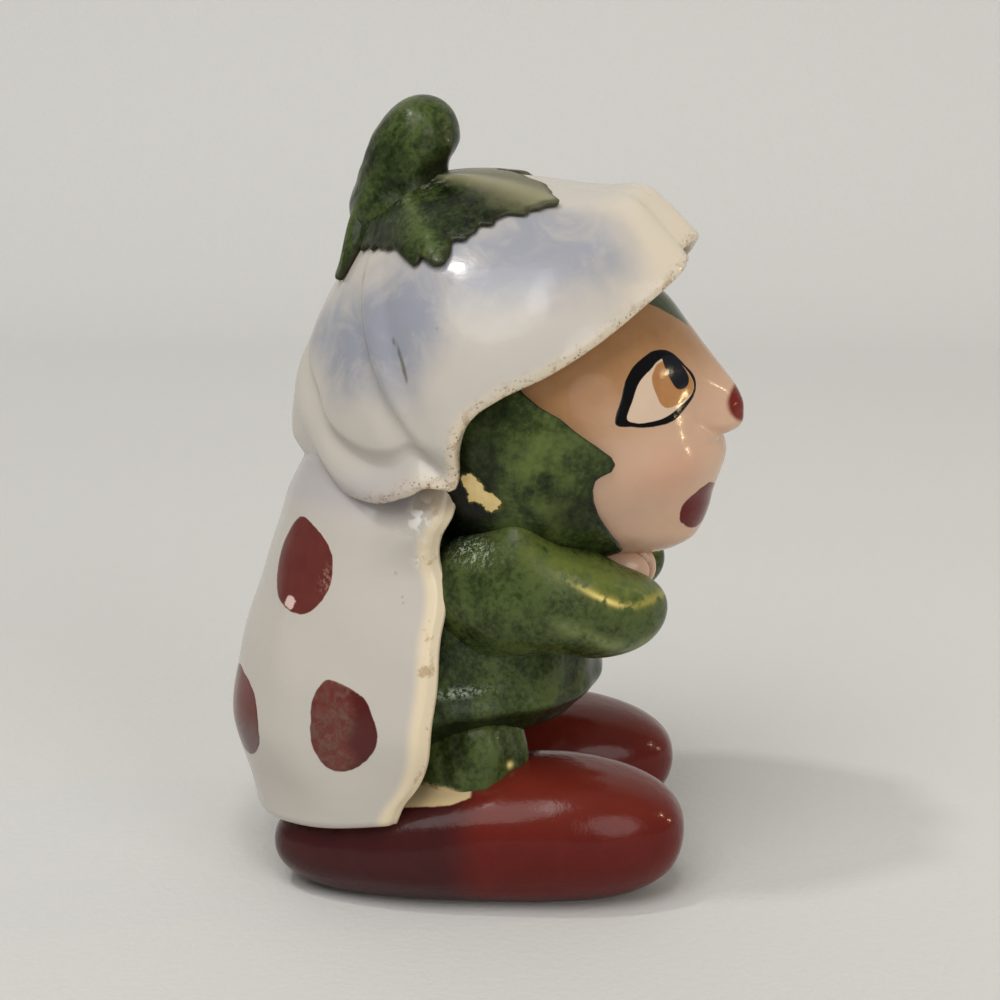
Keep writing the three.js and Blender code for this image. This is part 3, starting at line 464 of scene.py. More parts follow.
def buildWing(word, side):
    # Outer wall, half a circle round the front edge, inner wall and half a circle round the seam make one closed loop;
    # the loops are drawn together at the top and bottom, and the ends are closed by strips across the wall
    rows, half, arc = 220, 150, 12
    level = np.linspace(0, 1, rows)[:, None]
    rise = level - 0.1 * np.sin(2 * math.pi * level)
    run = np.linspace(0, 1, half)[None, :] ** 0.9
    outer = xyz(*wingWall(run + 0 * rise, rise, 0.0))
    inner = xyz(*wingWall(run[:, ::-1] + 0 * rise, rise, wing["thick"]))
    fromEdge = np.linalg.norm(outer - outer[:, -1:], axis=-1)
    bevel = through(rise, wing["bevelPlaces"], wing["bevelWidths"])
    roll = np.clip(1 - fromEdge / bevel, 0, 1)
    outer = xyz(*wingWall(run + 0 * rise, rise, blend(0.9, 1.5, ease(rise, 0.6, 0.9)) * (1 - np.sqrt(1 - roll**2))))
    share = crowded(np.linspace(0, 1, arc + 2)[1:-1])
    bulge = np.sqrt(share * (1 - share))[None, :, None] * np.array([0, -0.9, 0])
    front = blend(outer[:, -1:], inner[:, :1], share[None, :, None]) + bulge
    seam = blend(inner[:, -1:], outer[:, :1], share[None, :, None])
    loop = np.roll(np.concatenate([outer, front, inner, seam], 1), arc // 2, axis=1)
    middle = (loop + loop[:, ::-1]) / 2  # point k of the loop faces point -k across the wall
    fromEnd = np.minimum(rise, 1 - rise) * (wing["top"] - wing["bottom"])
    shrink = 1 - np.sqrt(1 - np.clip(1 - fromEnd / wing["endRound"], 0, 1) ** 2)
    loop = blend(loop, middle, 0.85 * shrink[..., None])
    loop[..., :2] += wing["waves"] * uneven(*np.moveaxis(loop, -1, 0), 19, 0.9)[..., None]
    phi = np.arctan2(np.abs(loop[..., 0]), loop[..., 1] - wing["front"]) / deg
    height = loop[..., 2].copy()
    loop[..., 0] *= side
    columns = loop.shape[1]
    index = np.arange(rows * columns).reshape(rows, columns)
    k = np.arange(columns // 2 - 1)
    across = (k + 1, k, columns - 1 - k, columns - 2 - k)
    ends = [np.stack([index[row, k] for k in across], -1)[:, ::order] for row, order in ((0, 1), (rows - 1, -1))]
    outside = np.roll(np.concatenate([fromEdge, np.zeros((rows, columns - half))], 1), arc // 2, axis=1)
    within = np.roll(np.concatenate([np.zeros((rows, half + arc)), np.ones((rows, half + arc))], 1), arc // 2, axis=1)
    fields = {f"spot{which}": insideBy(phi, height, outline, (0.45, 1)) for which, outline in wingPaint.items()}
    fields.update(phi=phi, height=height, fromEdge=outside, within=within)
    return meshPiece(f"wingCase{word}Skin", loop.reshape(-1, 3), [np.concatenate([ringQuads(index)] + ends)], fields)


# The torso: a tunic with a soft belly, a rounded hem and flat shoulders, filling the wing cases behind

torso = dict(top=47, bottom=18, seat=11.5, tunic=20.8, shoulder=17.2, belly=15.3, chest=13, axis=6, gap=0.6,
             hems=((24.6, 1.3, 0.55), (22.2, 1.2, -0.5)), crumple=0.35)


def buildTorso():
    # Ovals from seat to shoulders, closed at both ends by (1 - |2s - 1|^5)^0.42; behind, they follow the wing cases
    rise, turn = roundGrid(200, 300)
    share = crowded(rise)
    closed = (1 - np.abs(2 * share - 1) ** 5) ** 0.42
    upper = ease(share, 0.1, 1)
    height = blend(torso["bottom"], torso["top"], share)
    wide, back, _ = wingRings((height - wing["bottom"]) / (wing["top"] - wing["bottom"]))
    filled = wing["thick"] + torso["gap"]
    forward = np.cos(turn)
    tunic = blend(torso["tunic"], torso["shoulder"], upper)
    halfWidth = blend(tunic, wide - filled, ease(-forward, -0.4, 0.1))
    reach = blend(torso["belly"], torso["chest"], upper) + torso["axis"]
    depth = np.where(forward > 0, reach, back - filled - torso["axis"])
    crumple = torso["crumple"] * uneven(30 * turn, height, 0, 17, 0.3) * ease(forward, -0.2, 0.3)
    grow = swells(height, torso["hems"]) * ease(forward, -0.2, 0.2) + crumple
    y = torso["axis"] - (depth + grow) * closed * forward
    seat = (torso["bottom"] - torso["seat"]) * ease(y, torso["axis"] - 3, torso["axis"] + 9) * (1 - share) ** 3
    points = xyz((halfWidth + grow) * closed * np.sin(turn), y, height - seat)
    return closedPiece("torsoSkin", points, dict(height=height, fold=crumple, front=forward))


# Arms, hands, legs and shoes, each made for one side and mirrored by its x

arm = dict(path=((-12.6, 6, 38.6), (-15.4, -2, 39.2), (-15.4, -10, 38.3), (-13.2, -16.6, 36.6), (-10.3, -23.2, 36.5)),
           wide=(6.8, 7.4, 7.2, 5.9, 4.4), high=(7.5, 8.1, 7.1, 6.0, 4.9), ridge=0.7, folds=0.3, radius=8,
           puffPlace=-4.9, puffWidth=3.3, puffHeight=3.3,
           streak=((-18.5, -17, -14, -12.9, -8.3, -5), (38.4, 39.2, 40.9, 41.6, 43.6, 45)))


def buildArm(word, side):
    # A bent limb; a soft ridge runs down the upper outside of the sleeve, and shallow folds run out under it
    points, middle, share = alongPath(arm["path"], (arm["wide"], arm["high"]), 150, 200, 4.5)
    x, y, z = np.moveaxis(points, -1, 0)
    above = np.arctan2(z - middle[..., 2], -(x - middle[..., 0]))
    ridge = swell(above - 0.75, 0.34) * ease(share, 0.2, 0.45) * ease(1 - share, 0.04, 0.22)
    folds = (np.sin(3.3 * above + 5 * share) * ease(-above, -0.3, 0.5) * ease(1 - share, 0.1, 0.4)
             + 0.6 * uneven(x, y, z, 11, 1.1))
    grow = 1 + (arm["ridge"] * ridge + arm["folds"] * folds) / arm["radius"]
    points = middle + (points - middle) * grow[..., None]
    puff = arm["puffHeight"] * swell(y - arm["puffPlace"], arm["puffWidth"])  # up beside the jaw
    points[..., 2] += puff * ease(z - middle[..., 2], 2.5, 7.5)
    y, z = points[..., 1].copy(), points[..., 2].copy()
    points[..., 0] *= -side
    fields = dict(ridge=ridge, ahead=-y, height=z, streak=z - through(y, *arm["streak"]))
    return closedPiece(f"arm{word}Skin", points, fields)


hand = dict(place=(-6.2, -17.2, 40.2), half=(4.1, 4.9, 3.5), grooves=0.13, thumb=0.12)


def buildHand(word, side):
    # A small fist: an oval ball with three grooves between its fingers, cut towards the front
    rise, turn = roundGrid(90, 120)
    slope = (rise - 0.5) * math.pi
    way = xyz(np.cos(slope) * np.sin(turn), -np.cos(slope) * np.cos(turn), np.sin(slope))
    fingers = swells(way[..., 0], [(place, 0.07, 1) for place in (-0.45, 0.0, 0.45)]) * ease(-way[..., 1], 0.1, 0.6)
    thumb = swell(np.linalg.norm(way - np.array([0.75, -0.35, 0.5]), axis=-1), 0.35)
    scale = 1 - hand["grooves"] * fingers + hand["thumb"] * thumb
    points = way * np.array(hand["half"]) * scale[..., None] + np.array(hand["place"])
    points[..., 0] *= -side
    return closedPiece(f"hand{word}Skin", points, dict(groove=fingers))


leg = dict(place=(-13, 0.8), radius=6.6, low=9.5, high=24.5, folds=0.3, foldCount=5, lumps=0.25)


def buildLeg(word, side):
    # A puffed trouser leg: a barrel whose radius swells low down, with upright folds and a drawn-in lower edge
    rise, turn = roundGrid(110, 180)
    share = crowded(rise)
    height = blend(leg["low"], leg["high"], share)
    barrel = (1 - np.abs(2 * share - 1) ** 3.2) ** 0.5 * (1 + 0.03 * swell(share - 0.4, 0.25))
    folds = (leg["folds"] * np.sin(leg["foldCount"] * turn + 1.5) * ease(share, 0.1, 0.4)
             + leg["lumps"] * uneven(12 * turn, height, 0, 8, 0.8))
    reach = (leg["radius"] + folds) * barrel
    points = xyz(leg["place"][0] - reach * np.sin(turn), leg["place"][1] - reach * np.cos(turn), height)
    points[..., 0] *= -side
    return closedPiece(f"leg{word}Skin", points, dict(height=height, around=turn / deg, fold=folds))


shoe = dict(out=13.4, length=52, halfWidth=11.4, heelHalfWidth=10.5, toe=17.6, heel=12.5, press=1.3, splay=2,
            square=0.85, waves=0.18, leftSize=0.94, leftBack=0.9)  # the left shoe is a little lower and further back


def buildShoe(word, side):
    # Squared oval in plan and in height, widening and rising towards the toe, its round underside pressed flat
    rise, turn = roundGrid(180, 260)
    slope = (rise - 0.5) * math.pi
    level = np.cos(slope).clip(0) ** np.where(slope > 0, 0.8, 1.0)
    front = ease(np.cos(turn), -0.5, 0.5)
    lengthwise = np.cos(slope).clip(0) ** np.where(slope > 0, blend(0.62, 0.8, front), 0.48)
    square = shoe["square"]
    y = -shoe["length"] / 2 * lengthwise * squared(np.cos(turn), square)
    toe = ease(-y, -shoe["length"] / 2, shoe["length"] * 0.3)
    x = blend(shoe["heelHalfWidth"], shoe["halfWidth"], toe) * level * squared(np.sin(turn), square)
    height = blend(shoe["heel"], shoe["toe"], toe) + shoe["press"]
    z = height / 2 * (1 + np.where(slope > 0, squared(np.sin(slope), square), np.sin(slope))) - shoe["press"]
    wave = shoe["waves"] * uneven(x, y, z, 21, 1.3) * ease(z, 1, 4)
    size = shoe["leftSize"] if side > 0 else 1
    points = turned(xyz(x + wave, y, np.maximum(0, (z + wave) * size)), -shoe["splay"] * deg, 2)
    points[..., 1] += shoe["leftBack"] * (side > 0)
    points[..., 0] = (points[..., 0] - shoe["out"]) * -side
    return closedPiece(f"shoe{word}Skin", points, dict(along=y, height=z))


# Glazes. A Wire is a node socket used in Python sums; each operator adds one Math node

class Wire:
    def __init__(self, glaze, socket):
        self.glaze, self.socket = glaze, socket

    def __add__(self, other): return self.glaze.maths("ADD", self, other)
    def __radd__(self, other): return self.glaze.maths("ADD", other, self)
    def __sub__(self, other): return self.glaze.maths("SUBTRACT", self, other)
    def __rsub__(self, other): return self.glaze.maths("SUBTRACT", other, self)
    def __mul__(self, other): return self.glaze.maths("MULTIPLY", self, other)
    def __rmul__(self, other): return self.glaze.maths("MULTIPLY", other, self)
    def __truediv__(self, other): return self.glaze.maths("DIVIDE", self, other)
    def __pow__(self, other): return self.glaze.maths("POWER", self, other)
    def __neg__(self): return self.glaze.maths("MULTIPLY", self, -1)


def rgb(red, green, blue):  # a colour as seen on screen (0 to 255) turned to linear light, by the sRGB curve
    share = np.array([red, green, blue]) / 255
    return tuple(np.where(share <= 0.04045, share / 12.92, ((share + 0.055) / 1.055) ** 2.4).tolist()) + (1.0,)


gloss = dict(ior=1.45, coatRough=0.05, bumpDepth=0.001, bumpStrength=0.6, waves=0.12, slow=(1.6, 140, 2, 0.5),
             fine=(0.5, 520, 3, 0.6))  # each wave's share of the height, then its noise


class Glaze:  # a material in the making; its colour is what has been painted so far
    def __init__(self, name):
        self.material = bpy.data.materials.new(name)
        self.material.use_nodes = True
        self.tree = self.material.node_tree
        self.tree.nodes.clear()
        self.place = self.node("TexCoord", out="Object")

    def node(self, kind, settings=None, inputs=None, out=0):
        node = self.tree.nodes.new("ShaderNode" + kind)
        for key, value in (settings or {}).items():
            setattr(node, key, value)
        for key, value in (inputs or {}).items():
            if isinstance(value, Wire):
                self.tree.links.new(value.socket, node.inputs[key])
            else:
                node.inputs[key].default_value = value
        return Wire(self, node.outputs[out]) if node.outputs else None

    def maths(self, operation, *values):
        return self.node("Math", {"operation": operation}, dict(enumerate(values)))

    def field(self, name):  # a value stored on the piece's points
        return self.node("Attribute", {"attribute_name": name}, out="Fac")

    def fields(self, *names):
        return [self.field(name) for name in names]

    def noise(self, scale, detail=3.0, rough=0.55, distortion=0.0):  # cloudy noise, about 0 to 1, scale per metre
        inputs = {"Vector": self.place, "Scale": scale, "Detail": detail, "Roughness": rough, "Distortion": distortion}
        return self.node("TexNoise", None, inputs, "Fac")

    def waver(self, reach, *noise):  # cloudy noise about zero with the given reach, which makes an edge look brushed
        return (self.noise(*noise) - 0.5) * reach

    def ease(self, value, low, high):  # 0 below low, 1 above high, an S between
        inputs = {"Value": value, "From Min": low, "From Max": high}
        return self.node("MapRange", {"interpolation_type": "SMOOTHSTEP"}, inputs)

    def bell(self, value, middle, width):  # 1 at the middle, falling off on both sides
        return self.maths("POWER", math.e, -(((value - middle) / width) ** 2))

    def top(self, *values):  # the highest of several
        result = values[0]
        for value in values[1:]:
            result = self.maths("MAXIMUM", result, value)
        return result

    def mix(self, factor, under, over):  # over laid on under, as far as the factor says
        under, over = (rgb(*tint) if isinstance(tint, tuple) else tint for tint in (under, over))
        return self.node("Mix", {"data_type": "RGBA", "clamp_factor": True}, {0: factor, 6: under, 7: over}, 2)

    def lay(self, factor, tint):  # one more layer of paint, where the factor is above 0
        self.colour = self.mix(factor, self.colour, tint)

    def bump(self, height, distance, strength=1.0):
        return self.node("Bump", None, {"Height": height, "Distance": distance, "Strength": strength})

    def specks(self, scale, size, amount):  # small round dots: cells of a jittered grid, only some of them filled
        cells = self.node("TexVoronoi", {"feature": "F1"}, {"Vector": self.place, "Scale": scale}, "Distance")
        chance = self.noise(scale * 0.37, 1)
        return self.ease(cells, size, size * 0.55) * self.ease(chance, 1 - amount, 1 - amount + 0.06)

    def skin(self, height=None, waves=gloss["waves"]):
        # The soft unevenness of a fired glaze, and any painted or worn relief on top of it
        slow, fine = (self.noise(*noise) * (waves * share) for share, *noise in (gloss["slow"], gloss["fine"]))
        relief = slow + fine if height is None else slow + fine + height
        return self.bump(relief, gloss["bumpDepth"], gloss["bumpStrength"])

    def finish(self, rough, normal, coat=0.2, mirror=0.5):  # mirror: how strongly the surface throws back the room
        shader = self.node("BsdfPrincipled", None, {
            "Base Color": self.colour, "Roughness": rough, "Normal": normal, "Coat Weight": coat,
            "Coat Roughness": gloss["coatRough"], "IOR": gloss["ior"], "Specular IOR Level": mirror})
        self.node("OutputMaterial", None, {"Surface": shader})
        return self.material


# Green: hood, stem, calyx, tunic, sleeves and trouser legs

green = dict(deep=(14, 21, 7), dark=(42, 54, 24), middle=(78, 92, 49), light=(116, 128, 64), crackle=(138, 148, 116),
             chipShade=(20, 26, 10), chipDeepShade=(5, 8, 2), thin=(116, 132, 66), hollow=(10, 14, 5), leafEdge=(46, 46, 28),
             leafFoot=(168, 172, 158), frontLeaf=((112, 108, 80), (150, 146, 118)), streak=(120, 126, 52),
             brightStreakHighlight=(158, 150, 70), sparkle=(236, 214, 128), litLowBand=(132, 144, 92),
             shoulderSparkles=(196, 208, 186), tunicSparkles=(150, 164, 144), legGlint=(236, 222, 140))
clay = dict(chipEdge=(84, 78, 36), chip=((214, 182, 112), (236, 216, 160)), leg=(206, 186, 142), shoe=(212, 190, 146),
            sole=(206, 190, 168))


def greenGlaze(name, ridge, gain, lift, paint):
    # Green over cream clay: it pools dark in the dips, thins to yellow-green on the ridges, and is full of crackles
    g = Glaze(name)
    cloud, mottle, grain = g.noise(95, 3, 0.6), g.noise(330, 5, 0.65, 0.6), g.noise(1500, 3, 0.6)
    tone = mottle * 0.5 + cloud * 0.42 + grain * 0.38 + g.field(ridge) * gain + (lift - 0.15)
    g.colour = g.mix(g.ease(tone, 0.28, 0.48), green["deep"], green["dark"])
    g.lay(g.ease(tone, 0.42, 0.66), green["middle"])
    g.lay(g.ease(tone, 0.66, 1.0), green["light"])
    g.lay(g.ease(g.noise(900, 4, 0.7, 1.2), 0.66, 0.78) * g.ease(tone, 0.4, 0.8) * 0.45, green["crackle"])
    paint(g)
    grit = g.noise(700, 4, 0.7, 0.8)
    normal = g.bump(g.noise(150, 2) * 0.25 + grit * 0.1, gloss["bumpDepth"], 0.8)
    return g.finish(0.14 + 0.2 * grit, normal, 0.03, 0.2)


def paintedSparkles(g, where, tint, share):  # a patch of small pale flecks, laid as painted highlight sparkles
    g.lay(where * g.ease(g.noise(1300, 4, 0.75, 1.5), 1 - share, 1.06 - share), tint)


def hoodPaint(g):
    edge, back, around = g.field("edge"), g.field("back"), -g.field("turn")
    g.lay(g.ease(edge, 0.9, 0.1) * 0.65, green["deep"])
    shadeNearChip = g.ease(back + g.waver(16, 420, 4, 0.7), 91, 80)  # painted shade, almost black, round the chip
    g.lay(shadeNearChip * 0.45, green["chipShade"])
    g.lay(shadeNearChip * g.ease(around + g.waver(12, 500, 3), 93, 100) * 0.95, green["chipDeepShade"])
    thin = g.bell(back, 101, 9) * g.bell(around, 98, 18)
    g.lay(thin * 0.55 * g.ease(g.noise(380, 4), 0.35, 0.65), green["thin"])
    chip = g.field("chip") + g.waver(1.1, 1500, 4, 0.75)
    g.lay(g.ease(chip, -0.3, 0.0), clay["chipEdge"])
    g.lay(g.ease(chip, 0.0, 0.08), g.mix(g.noise(700, 2), *clay["chip"]))


def stemPaint(g):
    # painted shade: the hollow under the stem's tip is laid nearly black
    g.lay(g.field("hollow") * 0.95, green["hollow"])


def calyxPaint(g):  # the front sepals are laid a pale brown, lighter on their ribs, and pale crackles gather at the stem's foot
    near, reach, ridge, edge = g.fields("near", "reach", "ridge", "edge")
    front = g.ease(near + g.waver(16, 300, 3), 52, 38) * g.ease(reach, 0.2, 0.45)
    g.lay(front * 0.8, g.mix(ridge, *green["frontLeaf"]))
    g.lay(g.ease(reach, 0.62, 0.3) * g.ease(g.noise(420, 4, 0.7), 0.52, 0.64) * 0.5, green["leafFoot"])
    g.lay(g.ease(edge, 0.9, 0.15) * 0.7, green["leafEdge"])


def sleevePaint(g):
    # A painted highlight runs down the sleeve's ridge to the elbow as a yellow-green streak, thinnest and brightest at
    # its end; painted highlight sparkles sit at the shoulder, and a lighter band of painted light lies low on the
    # forearm
    ahead, height, streak = g.fields("ahead", "height", "streak")
    mottle = g.noise(500, 4, 0.65)
    g.lay(g.bell(streak, 2.0, 2.2) * g.ease(ahead, 1, 7) * g.ease(mottle, 0.3, 0.65) * 0.45, green["streak"])
    g.lay(g.bell(streak, 0.2, 0.6) * g.ease(ahead, 8, 14) * g.ease(mottle, 0.4, 0.56) * 0.8, green["brightStreakHighlight"])
    g.lay(g.bell(streak, 0.0, 0.35) * g.bell(ahead, 15.8, 2.6) * g.ease(mottle, 0.38, 0.5), green["sparkle"])
    g.lay(g.bell(streak, -5.6, 1.1) * g.ease(ahead, 7, 13) * g.ease(mottle, 0.25, 0.6) * 0.7, green["litLowBand"])
    paintedSparkles(g, g.bell(ahead, -0.4, 2.6) * g.bell(height, 45.6, 1.3), green["shoulderSparkles"], 0.47)


def tunicPaint(g):  # painted shade below the hem, painted highlight sparkles just above it
    height, front = g.fields("height", "front")
    g.lay(g.ease(height, 24.9, 23.6) * 0.75, green["deep"])
    paintedSparkles(g, g.bell(height, 27.6, 0.6) * g.bell(front, 0.2, 0.16), green["tunicSparkles"], 0.52)


def legPaint(g):  # bare clay shows in a ragged patch low down at the back, where the brush missed
    height, around = g.fields("height", "around")
    g.lay(g.bell(height, 17.3, 0.45) * g.bell(around, 38, 4.5), green["legGlint"])
    g.lay(g.ease(height + g.waver(1.4, 600, 3), 15.2, 14.6) * g.ease(around, 92, 112), clay["leg"])


# White: hat and wing cases, with the wing cases' dark red spots

white = dict(base=((191, 185, 178), (201, 195, 185)), cream=(230, 214, 184), lavender=(150, 153, 165),
             speck=(110, 110, 96), pinhole=(132, 112, 92), shade=(178, 176, 186), mark=(92, 84, 70),
             lip=(124, 96, 70), rim=(150, 112, 74), rimSpeck=(96, 72, 52), underHat=(166, 162, 170),
             corner=((150, 130, 108), (190, 174, 150)), stain=(170, 136, 98), beadHighlight=(246, 245, 240))
spotRed = dict(even=((88, 32, 28), (114, 52, 45)), worn=((88, 54, 46), (120, 92, 80)), lowSpot=(78, 24, 21),
               backSpot=(104, 86, 86), rubbed=(168, 128, 116), nick=(220, 190, 182))


def whiteGround(g, cream):  # warm white glaze with a few grey-green specks and brown pinholes
    g.colour = g.mix(g.noise(70, 3, 0.6), *white["base"])
    g.lay(cream, white["cream"])
    g.lay(g.specks(330, 0.1, 0.4) * 0.45, white["speck"])
    g.lay(g.specks(800, 0.2, 0.3) * 0.3, white["pinhole"])


def hatGlaze():
    g = Glaze("hatWhiteGlaze")
    near, reach, offset = g.fields("near", "reach", "offset")
    rim, inside = g.ease(reach, 0.93, 1.0), g.ease(offset, -0.8, -2.2)
    front = g.ease(near, 60, 20) * g.ease(reach, 0.55, 0.95)
    whiteGround(g, g.top(rim * 0.8, front * 0.55, inside * 0.9))
    streak = g.noise(160, 4, 0.65, 0.9)
    for word, strength in (("frontTint", 0.9), ("backTint", 1.0)):
        tint = g.ease(g.field(word) + g.waver(5, 120, 3), -4.0, 2.0) * (g.ease(streak, 0.25, 0.6) * 0.6 + 0.4)
        g.lay(tint * strength, white["lavender"])
    g.lay(g.ease(reach, 0.86, 0.99) * g.ease(near, 100, 125) * 0.5, white["shade"])
    g.lay(g.ease(g.field("mark") + g.waver(0.3, 800, 2), -0.15, 0.2) * 0.75, white["mark"])
    # painted shade: the underside of the rim is laid brown
    g.lay(rim * g.ease(offset, -0.4, -1.6) * g.ease(g.noise(300, 4), 0.25, 0.6) * 0.7, white["lip"])
    g.lay(rim * g.ease(g.noise(900, 5, 0.75), 0.48, 0.62) * 0.6, white["rim"])
    g.lay(rim * g.specks(1600, 0.3, 0.6) * 0.8, white["rimSpeck"])
    return g.finish(0.16 + 0.1 * streak, g.skin(), 0.15, 0.36)


def wingGlaze(word):
    g = Glaze(f"wing{word}Glaze")
    edge, height, phi = g.fields("fromEdge", "height", "phi")
    whiteGround(g, g.top(g.ease(edge, 2.9, 1.3), g.field("within") * 0.9, g.ease(height, 10.4, 9.4)))
    # painted shade: the top of the wing case, under the hat, is laid a darker grey
    g.lay(g.ease(height, 47.0, 51) * g.ease(edge, 4, 6) * 0.55, white["underHat"])
    corner = g.ease(height + g.waver(2, 300, 4), 49.5, 51.6) * g.ease(edge, 5.5, 3.2)
    g.lay(corner * 0.8, g.mix(g.noise(420, 4, 0.7), *white["corner"]))
    g.lay(g.ease(edge, 2.6, 1.6) * g.ease(g.noise(300, 4, 0.7), 0.58, 0.7) * 0.65, white["stain"])
    brush = g.waver(0.5, 500, 3)
    spots = [g.field(f"spot{which}") + brush for which in wingPaint]
    worn = g.noise(620, 6, 0.75, 0.4)
    red = g.mix(g.noise(300, 3), *spotRed["even"])
    wornRed = g.mix(g.ease(worn, 0.4, 0.66), red, g.mix(g.noise(1200, 4), *spotRed["worn"]))
    leftSide = g.ease(phi + g.waver(8, 260, 2), 69, 64)  # the side of the low spot that is rubbed
    low = g.mix(leftSide, spotRed["lowSpot"], wornRed)
    back = g.mix(g.ease(height, 24, 20), red, g.mix(0.6, wornRed, spotRed["backSpot"]))
    rubbed = g.bell(phi, 52, 2.2) * g.bell(height, 41.2, 1.6) * g.ease(g.noise(1500, 4, 0.8), 0.5, 0.62)
    nick = g.maths("SQRT", ((phi - 40.6) * 0.42) ** 2 + (height - 37.8) ** 2) + g.waver(0.9, 1300, 3)
    high = g.mix(g.ease(nick, 0.95, 0.75), g.mix(rubbed * 0.8, red, spotRed["rubbed"]), spotRed["nick"])
    for spot, paint in zip(spots, (high, low, back)):
        g.lay(g.ease(spot, -0.08, 0.08), paint)
    relief = g.ease(g.top(*spots), -0.1, 0.25) * 0.12
    # the slip that holds the hat stands in glossy beads on the wing's upper corner, given a little relief and painted
    # white highlights
    beadsReliefAndGlint = g.bell(height, 50.0, 1.7) * g.bell(edge, 3.6, 1.5) + g.bell(height, 44.8, 1.8) * g.bell(edge, 1.4, 1.0)
    drops = g.noise(620, 2, 0.5)
    g.lay(beadsReliefAndGlint * g.ease(drops, 0.5, 0.56) * 0.9, white["beadHighlight"])
    return g.finish(0.18 + 0.1 * worn, g.skin(relief + beadsReliefAndGlint * drops * 0.5), 0.12, 0.34)


# Red shoes, and the skin of face and hands

shoeRed = dict(heel=((56, 20, 21), (72, 30, 30)), toe=((84, 19, 15), (106, 30, 23)), crown=(112, 46, 34),
               foot=(44, 16, 18), speck=(40, 12, 14))


def shoeGlaze():
    g = Glaze("shoeRedGlaze")
    along, height = g.fields("along", "height")
    mottle = g.noise(240, 5, 0.6, 0.5)
    # painted shadow: the back half of each shoe is laid a darker purple-brown, where the wing cases' shadow falls
    toe = g.ease(along + (mottle - 0.5) * 4, 4, -2)
    g.colour = g.mix(toe, g.mix(mottle, *shoeRed["heel"]), g.mix(mottle, *shoeRed["toe"]))
    # painted light: the top of the toe is laid a lighter brick red
    g.lay(g.ease(height, 8, 15) * toe * 0.5, shoeRed["crown"])
    # painted shade: the shoe is laid darker low down by the floor
    g.lay(g.ease(height, 2.4, 0.4) * 0.5, shoeRed["foot"])
    g.lay(g.specks(700, 0.2, 0.2) * 0.5, shoeRed["speck"])
    # a wedge of bare clay beside the trouser leg, above two sloping lines, and bare clay under the sole
    wedge = height - g.maths("MAXIMUM", 14.55 - along * 0.36, 13.0 - (along - 6) * 0.168)
    g.lay(g.ease(wedge + g.waver(0.4, 700, 2), 0.0, 0.2) * g.ease(along, 0.0, 0.5), clay["shoe"])
    g.lay(g.ease(height, 0.25, 0.05), clay["sole"])
    crinkle = g.noise(600, 4, 0.7)
    return g.finish(0.1 + 0.12 * crinkle, g.skin(crinkle * 0.09, 0.16), 0.05, 0.22)


skinTint = dict(face=((200, 164, 138), (213, 180, 155)), brimShade=((150, 105, 62), (174, 131, 88)), cheek=(206, 146, 122),
                chin=(168, 122, 96), hair=((44, 56, 26), (70, 82, 38)), noseTip=((96, 26, 20), (128, 42, 32)),
                mouth=((84, 6, 5), (104, 12, 9)), eyeLine=(12, 11, 13), eyeWhite=((208, 180, 156), (220, 198, 176)),
                iris=((158, 108, 64), (190, 140, 92)), pupil=(24, 26, 34), speck=(110, 76, 52),
                hand=((198, 160, 134), (212, 178, 152)), groove=(142, 92, 66))


def faceGlaze():
    g = Glaze("faceSkinGlaze")
    near, slope, eye = g.fields("near", "slope", "eye")
    brush, mottle = g.waver(0.4, 700, 3), g.noise(170, 4, 0.6)
    g.colour = g.mix(mottle, *skinTint["face"])
    # painted shade: under the hat's brim the face is laid a darker orange-brown
    brimShade = g.ease(g.field("underHat") + (mottle - 0.5) * 5, -18, -7)
    g.lay(brimShade * 0.9, g.mix(g.noise(400, 4), *skinTint["brimShade"]))
    g.lay(g.bell(near, 34, 13) * g.bell(slope, -9, 9) * 0.35, skinTint["cheek"])
    g.lay(g.ease(slope, -30, -46) * 0.4, skinTint["chin"])
    g.lay(g.ease(g.field("lock") + brush, -0.1, 0.12), g.mix(mottle, *skinTint["hair"]))
    g.lay(g.ease(g.field("tip"), 0.42, 0.62), g.mix(mottle, *skinTint["noseTip"]))
    g.lay(g.ease(g.field("mouth") + brush, -0.1, 0.1), g.mix(mottle, *skinTint["mouth"]))
    g.lay(g.ease(eye + brush * 0.5, -0.06, 0.06), skinTint["eyeLine"])
    inner = g.field("white") + brush * 0.4
    g.lay(g.ease(inner, -0.06, 0.06), g.mix(mottle, *skinTint["eyeWhite"]))
    iris = g.ease(g.field("iris") + brush * 0.5, -0.08, 0.08) * g.ease(inner, 0, 0.1)
    g.lay(iris, g.mix(g.noise(400, 4), *skinTint["iris"]))
    g.lay(g.ease(g.field("pupil") + brush * 0.4, -0.06, 0.06) * g.ease(inner, -0.3, -0.1), skinTint["pupil"])
    g.lay(g.specks(900, 0.18, 0.12) * 0.5, skinTint["speck"])
    return g.finish(0.09 + 0.08 * mottle, g.skin(g.ease(eye, -0.1, 0.2) * 0.06), 0.03, 0.16)


def handGlaze():
    g = Glaze("handSkinGlaze")
    g.colour = g.mix(g.noise(220, 4, 0.6), *skinTint["hand"])
    g.lay(g.field("groove") * 0.7, skinTint["groove"])
    return g.finish(0.22, g.skin())


def dress(piece, material, node):  # gives a piece its glaze and puts it in the place of its CAD solid
    piece.data.materials.append(material)
    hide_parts(node)
    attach(piece, "root")


